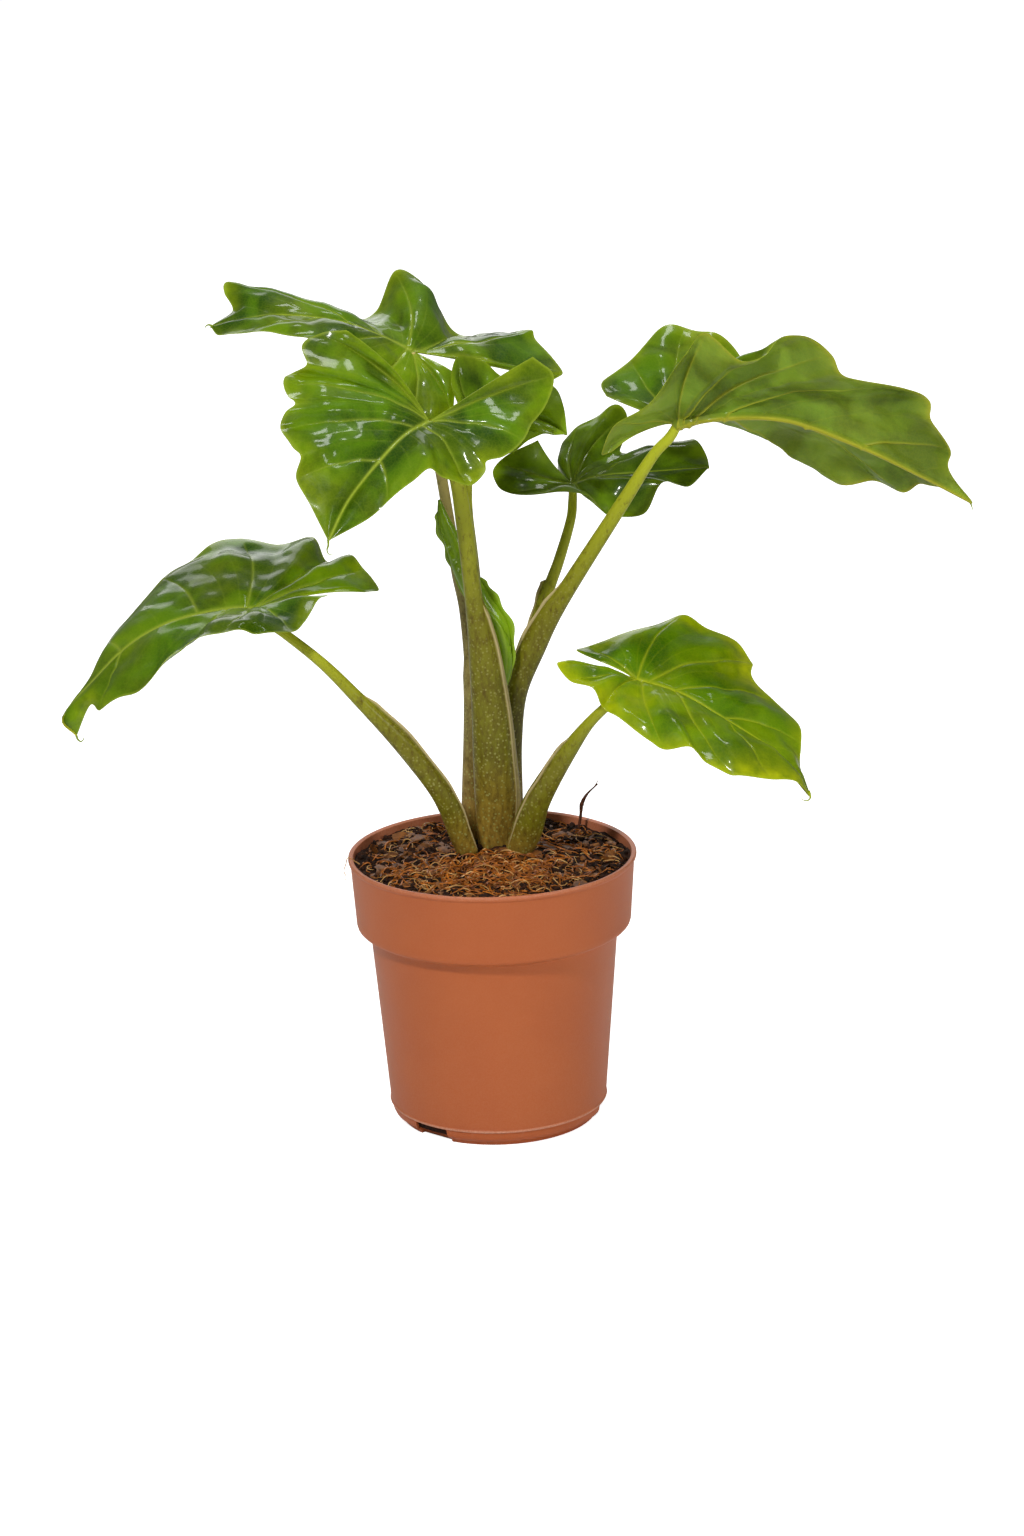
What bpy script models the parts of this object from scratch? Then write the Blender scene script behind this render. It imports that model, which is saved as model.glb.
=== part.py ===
"""Giant taro growing in a round nursery pot.

Seven blades on seven petioles and one furled young leaf rise from a corm that is buried in the soil.
The script works in millimetres and turns them to metres where it makes a mesh. The origin is the centre
of the pot's underside, +X runs to the viewer's right, +Y away from the viewer and +Z up.
"""

import math

import bmesh
import bpy
from mathutils import Vector, noise

MM = 0.001
TOUCH_GAP = 0.4

# Pot: a moulded plastic nursery pot with a deep collar under its rim
POT_HEIGHT = 200.0
RIM_RADIUS = 105.0
COLLAR_RADIUS = 100.5
COLLAR_DROP = 50.0
WALL_TOP_RADIUS = 90.0
WALL_FOOT_RADIUS = 79.0
FOOT_RADIUS = 73.0
FOOT_HEIGHT = 4.0
WALL_THICKNESS = 2.2
FLOOR_THICKNESS = 3.0
POT_SIDES = 48
NOTCH_COUNT = 3
NOTCH_TURN = 0.64
NOTCH_WIDTH = 25.0
NOTCH_HEIGHT = 9.0
NOTCH_DEPTH = 14.0

# Soil: coir compost, a little below the rim, mounded round the stems
SOIL_EDGE_HEIGHT = 194.0
SOIL_MOUND = 10.0
SOIL_LUMP = 2.2
SOIL_SIDES = 40
SOIL_RINGS = 9
SOIL_INSET = 0.8

# Corm: the swollen stem base that every petiole grows from
CORM_TOP = 158.0
CORM_DEPTH = 62.0
CORM_RADIUS = 37.0
CORM_CENTRE = (1.0, 18.0)
FOOT = CORM_TOP + TOUCH_GAP

# Blades: a stout midrib under a thin blade. A leaf with many side veins needs fewer grid rows for each.
BLADE_THICKNESS = 0.8
MIDRIB_THICKNESS = 2.8
ROWS_PER_VEIN = 3
ROWS_WITH_MANY_VEINS = 2
MANY_VEINS = 12
COLUMNS_PER_HALF = 4
WELD_DISTANCE = 0.3
ROOT_CROWDING = 3.0
VEIN_SWEEP = 0.07
LIFT_POWER = 1.25
RUFFLE_RATES = (2.3, 3.9)
RUFFLE_SHARE = 0.6
PETIOLE_SIDES = 10
NECK_LENGTH = 14.0
NECK_LEAN = 0.45
SEAT_DROP = 0.5

# Each leaf's points are in mm from its attach point, where petiole meets blade: x right, y away, z up.
# The midrib runs to the tip. Left and right are the ends of the side veins, seen from above with the
# tip ahead, from the edge of the sinus round the basal lobe to the last vein before the tip.
# The first veins, up to number "basal", fan out from the attach point itself.
LEAVES = {
    "front": dict(
        attach=(-35, -40, 529),
        midrib=[(-15, -15, -5), (-30, -35, -15), (-55, -60, -40), (-70, -80, -65)],
        left=[(73, 30, 37), (87, 26, 24), (82, 15, 7), (71, 2, -5), (65, -8, -14), (50, -18, -23),
              (39, -24, -25), (37, -30, -32), (26, -38, -38), (10, -44, -32), (0, -50, -23), (-12, -58, -30),
              (-29, -66, -42), (-44, -72, -53)],
        right=[(-56, 20, 61), (-75, 18, 60), (-87, 10, 53), (-84, -4, 41), (-94, -8, 39), (-100, -16, 32),
               (-96, -24, 24), (-91, -27, 21), (-99, -34, 13), (-101, -40, 6), (-94, -48, -5), (-88, -54, -13),
               (-91, -60, -25), (-81, -70, -44)],
        basal=3, wave=1.5, arch=4.0,
    ),
    "back_left": dict(
        attach=(-47, 40, 563),
        midrib=[(-25, -4, 14), (-52, -6, 24), (-96, -10, 30), (-142, -15, 24)],
        left=[(30, -10, -15), (29, -18, -30), (27, -25, -44), (18, -31, -54), (7, -35, -58), (-7, -38, -55),
              (-21, -40, -49), (-34, -40, -37), (-44, -40, -23), (-54, -40, -9), (-61, -40, 2), (-68, -42, 13),
              (-76, -42, 19), (-97, -40, 24), (-120, -35, 22), (-135, -25, 19)],
        right=[(100, 20, -28), (107, 28, -22), (89, 56, -6), (83, 64, 0), (59, 68, -2), (32, 60, -1),
               (18, 64, 20), (5, 70, 40), (-14, 70, 44), (-26, 58, 20), (-44, 50, 14), (-74, 40, 25),
               (-107, 26, 43), (-131, 20, 48), (-133, 13, 42), (-127, 2, 32)],
        basal=4, wave=1.5, arch=4.0,
    ),
    "right": dict(
        attach=(140, 20, 511),
        midrib=[(26, -5, 5), (76, -14, 4), (128, -24, -15), (170, -30, -36), (206, -35, -56)],
        left=[(-50, 20, 16), (-52, 35, 23), (-31, 55, 35), (-11, 75, 51), (9, 80, 52), (29, 78, 50),
              (46, 75, 36), (56, 66, 15), (61, 56, -4), (72, 46, -18), (87, 38, -32), (101, 34, -37),
              (114, 30, -55), (140, 20, -50), (161, 8, -58), (173, -2, -50), (187, -15, -49)],
        right=[(-48, -10, -19), (-55, -15, -18), (-45, -20, 3), (-20, -30, 20), (3, -40, 57), (19, -48, 70),
               (42, -54, 53), (57, -58, 59), (70, -61, 67), (85, -64, 73), (104, -65, 58), (115, -65, 39),
               (154, -62, 36), (172, -60, 21), (174, -56, 7), (189, -48, -14), (188, -42, -31)],
        basal=4, wave=1.5, arch=4.0,
    ),
    "back_right": dict(
        attach=(65, 70, 457),
        midrib=[(20, 0, 5), (56, 0, 7), (100, 5, 8)],
        left=[(-10, 25, 6), (-6, 35, 22), (5, 40, 34), (24, 45, 42), (42, 45, 40), (36, 35, 16),
              (52, 35, 12), (70, 35, 18), (86, 30, 24), (98, 18, 14)],
        right=[(-24, 20, 28), (-54, 8, 16), (-56, -5, 4), (-44, -12, -6), (-12, -20, 0), (12, -24, -6),
               (26, -30, -18), (50, -25, -16), (66, -20, 0), (86, -10, 0)],
        basal=4, wave=4.0, arch=4.0,
    ),
    "low_left": dict(
        attach=(-164, -20, 393),
        midrib=[(-20, -1, 0), (-57, -8, -6), (-87, -14, -20), (-112, -19, -42), (-138, -24, -70),
                (-128, -28, -84)],
        left=[(53, -5, 9), (46, -12, 7), (37, -32, -3), (28, -44, -7), (8, -56, -5), (-4, -58, -1),
              (-18, -62, -2), (-40, -64, -6), (-52, -63, -14), (-65, -58, -29), (-79, -52, -44), (-93, -46, -50),
              (-109, -36, -63), (-117, -28, -61)],
        right=[(78, 25, 3), (88, 35, 3), (77, 52, 13), (67, 62, 20), (50, 68, 18), (39, 82, 29),
               (13, 85, 25), (-14, 94, 30), (-34, 82, 25), (-51, 70, 18), (-69, 54, 9), (-88, 34, -10),
               (-108, 14, -28), (-115, -8, -54)],
        basal=3, wave=1.5, arch=5.0,
    ),
    "low_right": dict(
        attach=(106, -45, 340),
        midrib=[(30, -10, -8), (58, -25, -22), (92, -42, -42), (118, -55, -72)],
        left=[(-27, 8, 12), (-42, 19, 17), (-33, 28, 18), (-14, 40, 21), (12, 50, 25), (35, 60, 31),
              (52, 57, 21), (75, 49, 11), (84, 37, 0), (83, 27, -9), (98, 9, -21), (113, -7, -33),
              (114, -21, -46), (113, -35, -58)],
        right=[(-35, -3, 9), (-56, -14, 18), (-48, -21, 6), (-32, -29, 2), (-25, -38, -9), (-14, -46, -16),
               (5, -57, -28), (16, -65, -32), (34, -69, -32), (45, -73, -40), (59, -77, -48), (69, -77, -51),
               (90, -73, -53), (107, -65, -59)],
        basal=4, wave=1.2, arch=5.0,
    ),
    "behind": dict(
        attach=(-3, 15, 513),
        midrib=[(20, -4, 8), (42, -10, 6), (64, -20, -4)],
        left=[(-11, 2, 10), (-17, 6, 30), (-12, 20, 46), (6, 30, 40), (20, 30, 28), (40, 20, 28),
              (56, 5, 25), (62, -10, 14)],
        right=[(-12, -4, -2), (-18, -10, -8), (-6, -22, -20), (10, -30, -18), (26, -30, -12), (38, -26, -6),
               (47, -25, -2), (56, -24, -3)],
        basal=3, wave=1.5, arch=2.0,
    ),
}

# Petioles, from the corm up. Each row is x, y, z, then the width and the depth of the section there.
# A sheath edge is a ridge that stands proud at one angle round the section, up to a height in z.
PETIOLES = {
    "front": dict(
        path=[(1, 14, FOOT, 14, 12), (1, 12, 180, 20, 14), (2, 8, 200, 24, 16), (4, 4, 235, 31, 17),
              (3, 0, 268, 30, 18), (1, -4, 312, 26, 17), (-3, -8, 356, 20, 15), (-8, -12, 392, 13, 12),
              (-13, -20, 448, 12, 11), (-19, -29, 490, 10, 9)],
        sheath=(-10, 2.5, 385),
    ),
    "back_left": dict(
        path=[(-13, 22, FOOT, 10, 10), (-16, 24, 180, 12, 12), (-16, 26, 200, 12, 12), (-14, 28, 234, 12, 12),
              (-11, 32, 309, 11, 11), (-14, 37, 368, 10, 10), (-20, 38, 402, 9, 9), (-26, 38, 448, 8, 8),
              (-32, 38, 490, 8, 8), (-40, 40, 530, 7, 7)],
        sheath=(180, 1.5, 330),
    ),
    "right": dict(
        path=[(18, 24, FOOT, 11, 11), (19, 25, 180, 12, 12), (18, 26, 200, 12, 12), (17, 27, 240, 13, 12),
              (17, 27, 275, 14, 12), (21, 26, 312, 15, 13), (34, 24, 346, 17, 13), (54, 22, 382, 13, 11),
              (101, 22, 454, 10, 9), (122, 22, 486, 8, 8)],
        sheath=(190, 3.0, 380),
    ),
    "back_right": dict(
        path=[(14, 37, FOOT, 9, 9), (16, 40, 180, 10, 10), (17, 42, 200, 10, 10), (21, 44, 300, 10, 10),
              (43, 50, 374, 9, 9), (54, 56, 403, 8, 8), (63, 64, 430, 7, 7)],
        sheath=(160, 2.0, 380),
    ),
    "low_left": dict(
        path=[(-15, 0, FOOT, 12, 11), (-16, -5, 180, 13, 12), (-17, -10, 200, 15, 14),
              (-23, -17, 220, 16, 14), (-30, -23, 242, 16, 14), (-40, -28, 262, 15, 13),
              (-63, -33, 295, 14, 12), (-89, -36, 325, 10, 10), (-115, -34, 353, 8, 8),
              (-141, -28, 374, 7, 7)],
        sheath=(60, 3.5, 322),
    ),
    "low_right": dict(
        path=[(17, 0, FOOT, 12, 11), (18, -5, 180, 14, 12), (19, -10, 200, 18, 14), (26, -17, 220, 21, 15),
              (33, -24, 242, 18, 14), (43, -30, 262, 15, 13), (58, -37, 288, 12, 11), (72, -42, 308, 8, 8),
              (88, -45, 324, 7, 7)],
        sheath=(120, 3.5, 288),
    ),
    "behind": dict(
        path=[(0, 38, FOOT, 9, 9), (0, 40, 180, 9, 9), (0, 40, 200, 9, 9), (-1, 42, 300, 8, 8),
              (-7, 41, 400, 7, 7), (-11, 37, 450, 7, 7), (-8, 26, 488, 6, 6)],
        sheath=(90, 1.0, 300),
    ),
}

# The furled young leaf: a thin stalk in the sheaths, then a rolled blade that ends in a point
YOUNG_PATH = [(3, 26, FOOT, 6, 6), (3, 25, 200, 6, 6), (5, 18, 270, 6, 6), (10, 13, 318, 7, 6),
              (12, 12, 338, 12, 10), (8, 11, 364, 19, 14), (-4, 12, 387, 17, 14), (-14, 12, 409, 15, 12),
              (-21, 13, 428, 12, 10), (-28, 13, 446, 8, 7), (-31, 13, 460, 2, 2)]
YOUNG_BASE = 318.0
YOUNG_TIP = 460.0
YOUNG_STEP = 1.8

# A dead twig stands in the soil at the back right
TWIG_PATH = [(62, 62, 178), (66, 63, 206), (67, 62, 215), (71, 61, 223), (79, 60, 231)]
TWIG_RADIUS = 1.1


def clear_scene():
    for obj in list(bpy.data.objects):
        bpy.data.objects.remove(obj)


def collection(name):
    made = bpy.data.collections.new(name)
    bpy.context.scene.collection.children.link(made)
    return made


def material(name, colour, roughness):
    made = bpy.data.materials.new(name)
    made.use_nodes = True
    shader = made.node_tree.nodes["Principled BSDF"]
    shader.inputs["Base Color"].default_value = (*colour, 1)
    shader.inputs["Roughness"].default_value = roughness
    shader.inputs["Metallic"].default_value = 0
    made.diffuse_color = (*colour, 1)
    return made


def mesh_object(name, bm, finish, group):
    """A smooth-shaded object from a bmesh whose points are in mm."""
    bmesh.ops.scale(bm, vec=(MM, MM, MM), verts=bm.verts)
    mesh = bpy.data.meshes.new(name)
    bm.to_mesh(mesh)
    bm.free()
    mesh.materials.append(finish)
    mesh.shade_smooth()
    obj = bpy.data.objects.new(name, mesh)
    group.objects.link(obj)
    return obj


def on_curve(points, t):
    """The point at t, from 0 to the last index, on a smooth curve through the points."""
    i = min(int(t), len(points) - 2)
    f = t - i
    p1, p2 = points[i], points[i + 1]
    p0 = points[i - 1] if i > 0 else 2 * p1 - p2
    p3 = points[i + 2] if i + 2 < len(points) else 2 * p2 - p1
    bend = (2 * p0 - 5 * p1 + 4 * p2 - p3) * f * f + (3 * p1 - p0 - 3 * p2 + p3) * f**3
    return p1 + ((p2 - p0) * f + bend) / 2


class Blade:
    """The surface of one leaf: a fan of side veins from the midrib to the margin."""

    def __init__(self, leaf):
        self.attach = Vector(leaf["attach"])
        self.midrib = [Vector((0, 0, 0))] + [Vector(point) for point in leaf["midrib"]]
        tip = self.midrib[-1]
        self.ends = {side: [Vector(point) for point in leaf[side]] + [tip] for side in ("left", "right")}
        self.veins = len(leaf["left"])
        self.basal = leaf["basal"]
        self.wave, self.arch = leaf["wave"], leaf["arch"]

    def root_place(self, vein):
        """Where along the midrib, from 0 to 1, the vein starts. Veins crowd near the attach point, so they
        sweep forward to the margin."""
        return max(0, (vein - self.basal) / (self.veins - self.basal)) ** ROOT_CROWDING

    def root(self, place):
        return on_curve(self.midrib, place * (len(self.midrib) - 1))

    def forward(self, place):
        low, high = max(place - 0.08, 0), min(place + 0.08, 1)
        return (self.root(high) - self.root(low)).normalized()

    def up(self, vein):
        """The upper face's direction at the midrib, where the vein starts."""
        vein = min(max(vein, self.basal + 0.5), self.veins - 1)
        place = self.root_place(vein)
        root, ahead = self.root(place), self.forward(place)
        left = ahead.cross(on_curve(self.ends["left"], vein) - root)
        right = (on_curve(self.ends["right"], vein) - root).cross(ahead)
        return (left.normalized() + right.normalized()).normalized()

    def point(self, side, across, vein):
        """The point across, from 0 at the midrib to 1 at the margin, on the numbered vein."""
        place = self.root_place(vein)
        root, up = self.root(place), self.up(vein)
        reach = on_curve(self.ends[side], vein) - root
        lift = up * reach.dot(up)
        flat = reach - lift
        size = reach.length / 80
        swept = self.forward(place) * -VEIN_SWEEP * flat.length * math.sin(math.pi * across)
        bulge = self.arch * size * math.sin(math.pi * across)
        turn = 0 if side == "left" else 2
        slow, quick = (math.sin(rate * vein + turn) for rate in RUFFLE_RATES)
        calm = min(max(vein - 0.5, 0), self.veins - vein, 1)
        waved = self.wave * size * (slow + RUFFLE_SHARE * quick) * across**2 * calm
        level = self.attach + root + flat * across + swept
        return level + lift * across**LIFT_POWER + up * (bulge + waved)


def make_blade(name, leaf, finish, group):
    """A grid bent to the leaf's surface, split into triangles and thickened downward."""
    surface = Blade(leaf)
    bm = bmesh.new()
    rows = (ROWS_WITH_MANY_VEINS if surface.veins > MANY_VEINS else ROWS_PER_VEIN) * surface.veins
    bmesh.ops.create_grid(bm, x_segments=2 * COLUMNS_PER_HALF, y_segments=rows, size=1)
    thick = bm.verts.layers.deform.verify()
    for vert in bm.verts:
        across, vein = vert.co.x, (vert.co.y + 1) / 2 * surface.veins
        side = "left" if across < 0 else "right"
        on_rib = abs(across) < 0.01 and surface.root_place(vein) < 0.9
        vert[thick][0] = 1 if on_rib else 0
        vert.co = surface.point(side, abs(across), vein)
    bmesh.ops.remove_doubles(bm, verts=bm.verts, dist=WELD_DISTANCE)
    bmesh.ops.triangulate(bm, faces=bm.faces)
    blade = mesh_object(name, bm, finish, group)
    rib = blade.vertex_groups.new(name="midrib")
    skin = blade.modifiers.new("thickness", "SOLIDIFY")
    skin.thickness = MIDRIB_THICKNESS * MM
    skin.offset = -1
    skin.vertex_group = rib.name
    skin.thickness_vertex_group = BLADE_THICKNESS / MIDRIB_THICKNESS
    return blade


def stem_rings(rows, rings_per_row, sides, shape, grow=0.0):
    """Section rings along a smooth path, the first one level. shape(angle, z) adds to the section, in mm."""
    points = [Vector(row[:3]) for row in rows]
    sizes = [Vector((row[3], row[4], 0)) / 2 for row in rows]
    steps = rings_per_row * (len(rows) - 1)
    rings = []
    for step in range(steps + 1):
        t = step / rings_per_row
        centre, size = on_curve(points, t), on_curve(sizes, t)
        low, high = max(t - 0.1, 0), min(t + 0.1, len(rows) - 1)
        along = (on_curve(points, high) - on_curve(points, low)).normalized() if step else Vector((0, 0, 1))
        over = (Vector((1, 0, 0)) - along * along.x).normalized()
        away = along.cross(over)
        ring = []
        for side in range(sides):
            angle = math.tau * side / sides
            proud = shape(angle, centre.z) + grow
            ring.append(centre + over * math.cos(angle) * (size.x + proud)
                        + away * math.sin(angle) * (size.y + proud))
        rings.append(ring)
    return rings


def skin_rings(rings):
    """A closed loft between unlike sections."""
    bm = bmesh.new()
    loops = [[bm.verts.new(point) for point in ring] for ring in rings]
    for lower, upper in zip(loops, loops[1:]):
        for i in range(len(lower)):
            j = (i + 1) % len(lower)
            bm.faces.new((lower[i], lower[j], upper[j], upper[i]))
    bm.faces.new(reversed(loops[0]))
    bm.faces.new(loops[-1])
    bmesh.ops.triangulate(bm, faces=bm.faces)
    return bm


def make_hole(name, rings, finish, cutters):
    """A stem's plain hole in the soil: the stem's own rings, grown, with the floor a little lower."""
    rings[0] = [point - Vector((0, 0, 2 * TOUCH_GAP)) for point in rings[0]]
    mesh_object(name, skin_rings(rings), finish, cutters)


def sheath_edge(angle_degrees, proud, top):
    """A ridge along the stem that is highest just under its tip, at height top."""
    centre = math.radians(angle_degrees)

    def shape(angle, z):
        turned = math.cos(angle - centre)
        rising = min(max((z - CORM_TOP) / (top - CORM_TOP), 0), 1)
        return proud * rising if turned > 0.94 and z < top else 0

    return shape


def petiole_rows(name):
    """The petiole's path with its last stretch, which meets the blade's underside squarely."""
    surface = Blade(LEAVES[name])
    last = PETIOLES[name]["path"][-1]
    down = -surface.up(0)
    back = (Vector(last[:3]) - surface.attach).normalized()
    neck = surface.attach + (down * (1 - NECK_LEAN) + back * NECK_LEAN) * NECK_LENGTH
    seat = surface.attach + down * (MIDRIB_THICKNESS + TOUCH_GAP + SEAT_DROP)
    return PETIOLES[name]["path"] + [(*neck, last[3], last[4]), (*seat, 3.4, 3.4)]


def make_petiole(name, finish, group, cutters):
    rows = petiole_rows(name)
    shape = sheath_edge(*PETIOLES[name]["sheath"])
    mesh_object("petiole_" + name, skin_rings(stem_rings(rows, 2, PETIOLE_SIDES, shape)), finish, group)
    make_hole("hole_" + name, stem_rings(rows[:5], 2, PETIOLE_SIDES, shape, TOUCH_GAP), finish, cutters)


def plain_section(angle, z):
    return 0


def young_roll(angle, z):
    """One turn of the rolled blade: the section grows round to the outer edge, then steps back."""
    furled = min(max((z - YOUNG_BASE) / 30, 0), 1) * min(max((YOUNG_TIP - z) / 40, 0), 1)
    return furled * YOUNG_STEP * (angle / math.tau - 0.5)


def make_young_leaf(finish, group, cutters):
    mesh_object("young_leaf", skin_rings(stem_rings(YOUNG_PATH, 2, PETIOLE_SIDES, young_roll)), finish, group)
    rings = stem_rings(YOUNG_PATH[:3], 2, PETIOLE_SIDES, young_roll, TOUCH_GAP)
    make_hole("hole_young_leaf", rings, finish, cutters)


def turned(name, profile, sides, finish, group):
    """A profile of (radius, height) turned round the upright axis, as a mesh object."""
    bm = bmesh.new()
    verts = [bm.verts.new((radius, 0, height)) for radius, height in profile]
    for first, second in zip(verts, verts[1:]):
        bm.edges.new((first, second))
    obj = mesh_object(name, bm, finish, group)
    screw = obj.modifiers.new("turn", "SCREW")
    screw.steps = screw.render_steps = sides
    screw.use_merge_vertices = True
    screw.merge_threshold = 0.00001
    return obj


def applied(obj):
    """The object with its modifiers made part of its mesh."""
    graph = bpy.context.evaluated_depsgraph_get()
    mesh = bpy.data.meshes.new_from_object(obj.evaluated_get(graph))
    obj.modifiers.clear()
    obj.data = mesh
    return obj


def cut(obj, cutters):
    """Each cutter is taken out of the object."""
    for cutter in cutters:
        hole = obj.modifiers.new(cutter.name, "BOOLEAN")
        hole.operation = "DIFFERENCE"
        hole.object = cutter


def inner_profile(inset=0.0):
    """Up the inside of the pot's wall, or the same line moved in and up by the inset."""
    collar_foot = POT_HEIGHT - COLLAR_DROP
    points = [
        (WALL_FOOT_RADIUS - 1 - WALL_THICKNESS, FLOOR_THICKNESS + 2),
        (WALL_TOP_RADIUS - WALL_THICKNESS, collar_foot - 10),
        (COLLAR_RADIUS - 1.5 - WALL_THICKNESS, collar_foot - 1),
        (RIM_RADIUS - 1.4 - WALL_THICKNESS, POT_HEIGHT - 1),
    ]
    return [(radius - inset, height + inset) for radius, height in points]


def pot_profile():
    """Down the outside from the rim, across the underside, and up the inside."""
    collar_foot = POT_HEIGHT - COLLAR_DROP
    rim_top = (RIM_RADIUS - 1.6, POT_HEIGHT)
    outer = [
        rim_top,
        (RIM_RADIUS - 0.3, POT_HEIGHT - 0.8),
        (RIM_RADIUS, POT_HEIGHT - 3),
        (RIM_RADIUS - 1.2, POT_HEIGHT - 5),
        (COLLAR_RADIUS, collar_foot + 2),
        (COLLAR_RADIUS - 1.5, collar_foot - 4),
        (WALL_TOP_RADIUS + 3, collar_foot - 9),
        (WALL_TOP_RADIUS, collar_foot - 12),
        (WALL_FOOT_RADIUS + 0.6, 14),
        (WALL_FOOT_RADIUS + 1.2, 12),
        (WALL_FOOT_RADIUS - 0.2, 10),
        (WALL_FOOT_RADIUS - 1, FOOT_HEIGHT + 2),
        (FOOT_RADIUS + 2, FOOT_HEIGHT),
        (FOOT_RADIUS, 0),
        (0, 0),
    ]
    return outer + [(0, FLOOR_THICKNESS)] + inner_profile() + [rim_top]


def make_pot(finish, group, cutters):
    pot = applied(turned("pot", pot_profile(), POT_SIDES, finish, group))
    notches = []
    for i in range(NOTCH_COUNT):
        angle = math.tau * (NOTCH_TURN + i / NOTCH_COUNT)
        bm = bmesh.new()
        bmesh.ops.create_cube(bm, size=1)
        bmesh.ops.scale(bm, vec=(NOTCH_DEPTH, NOTCH_WIDTH, NOTCH_HEIGHT), verts=bm.verts)
        notch = mesh_object("notch_%d" % i, bm, finish, cutters)
        around = Vector((math.cos(angle), math.sin(angle), 0)) * WALL_FOOT_RADIUS
        notch.location = (around + Vector((0, 0, FOOT_HEIGHT + 3))) * MM
        notch.rotation_euler.z = angle
        notches.append(notch)
    cut(pot, notches)


def make_corm(finish, group, cutters):
    """A turned barrel, flat on top where the petioles stand, and its socket in the soil."""
    for name, grow, place in (("corm", 0, group), ("hole_corm", TOUCH_GAP, cutters)):
        profile = [
            (0, CORM_TOP + grow),
            (CORM_RADIUS - 3 + grow, CORM_TOP + grow),
            (CORM_RADIUS + grow, CORM_TOP - 6),
            (CORM_RADIUS + grow, CORM_TOP - CORM_DEPTH * 0.4),
            (CORM_RADIUS * 0.62 + grow, CORM_TOP - CORM_DEPTH * 0.85),
            (CORM_RADIUS * 0.3 + grow, CORM_TOP - CORM_DEPTH - grow),
            (0, CORM_TOP - CORM_DEPTH - grow),
        ]
        corm = applied(turned(name, profile, 20, finish, place))
        corm.location = (CORM_CENTRE[0] * MM, CORM_CENTRE[1] * MM, 0)


def soil_height(x, y):
    """The soil's surface: a mound towards the front middle, with lumps."""
    mound = SOIL_MOUND * math.exp(-((x - 5) ** 2 + (y + 10) ** 2) / 55**2)
    place = Vector((x, y, 0))
    lumps = noise.noise(place / 17) + 0.5 * noise.noise(place / 8)
    return SOIL_EDGE_HEIGHT + mound + SOIL_LUMP * lumps


def make_soil(finish, group, cutters):
    """The filled pot's contents: a turned body with a lumpy top, with a hole for each stem."""
    wall = inner_profile(SOIL_INSET)
    (collar_radius, collar_height), (rim_radius, rim_height) = wall[2], wall[3]
    filled = (SOIL_EDGE_HEIGHT - collar_height) / (rim_height - collar_height)
    edge = collar_radius + (rim_radius - collar_radius) * filled
    top = [(edge * i / SOIL_RINGS, SOIL_EDGE_HEIGHT) for i in range(SOIL_RINGS + 1)]
    profile = top + wall[2::-1] + [(0, FLOOR_THICKNESS + TOUCH_GAP)]
    soil = applied(turned("soil", profile, SOIL_SIDES, finish, group))
    for vert in soil.data.vertices:
        if vert.co.z > (SOIL_EDGE_HEIGHT - 0.1) * MM:
            vert.co.z = soil_height(vert.co.x / MM, vert.co.y / MM) * MM
    cut(soil, [obj for obj in cutters.objects if obj.name.startswith("hole_")])


def make_twig(finish, group, cutters):
    """A thin bent twig, and the plain hole that it stands in."""
    rows = [(*point, 2 * TWIG_RADIUS, 2 * TWIG_RADIUS) for point in TWIG_PATH]
    mesh_object("twig", skin_rings(stem_rings(rows, 2, 6, plain_section)), finish, group)
    make_hole("hole_twig", stem_rings(rows, 2, 6, plain_section, TOUCH_GAP), finish, cutters)


def main():
    clear_scene()
    bpy.context.scene.unit_settings.scale_length = 1
    plant = collection("giant_taro")
    cutters = collection("cutters")

    pot_plastic = material("terracotta plastic", (0.42, 0.14, 0.06), 0.5)
    compost = material("coir compost", (0.045, 0.025, 0.015), 0.95)
    corm_skin = material("corm skin", (0.16, 0.08, 0.04), 0.8)
    leaf_green = material("leaf", (0.08, 0.2, 0.03), 0.35)
    dark_green = material("shaded leaf", (0.035, 0.1, 0.02), 0.35)
    young_green = material("young leaf", (0.2, 0.36, 0.06), 0.4)
    stem_green = material("petiole", (0.2, 0.22, 0.07), 0.5)
    dry_wood = material("dry twig", (0.25, 0.15, 0.07), 0.8)

    for name, leaf in LEAVES.items():
        finish = dark_green if name == "back_right" else leaf_green
        make_blade("blade_" + name, leaf, finish, plant)
        make_petiole(name, stem_green, plant, cutters)
    make_young_leaf(young_green, plant, cutters)
    make_twig(dry_wood, plant, cutters)
    make_corm(corm_skin, plant, cutters)
    make_soil(compost, plant, cutters)
    make_pot(pot_plastic, plant, cutters)

    for cutter in cutters.objects:
        cutter.hide_render = True
        cutter.display_type = "WIRE"


main()
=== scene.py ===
# %% [markdown]
# # A giant taro in its nursery pot
#
# A giant taro is an aroid: every leaf is one broad blade on one long stem, called a petiole, and all of the
# petioles rise from a corm that is buried in the compost. This lesson dresses a finished construction model
# of the plant. That model is the frame: it says where every piece is, and the cells below make finer pieces
# in its place. Blender counts in metres, so a small constant turns millimetres into metres.

# %% Load the frame
import math

import bmesh
import bpy
import numpy as np
from mathutils import Matrix, Vector, noise


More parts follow.
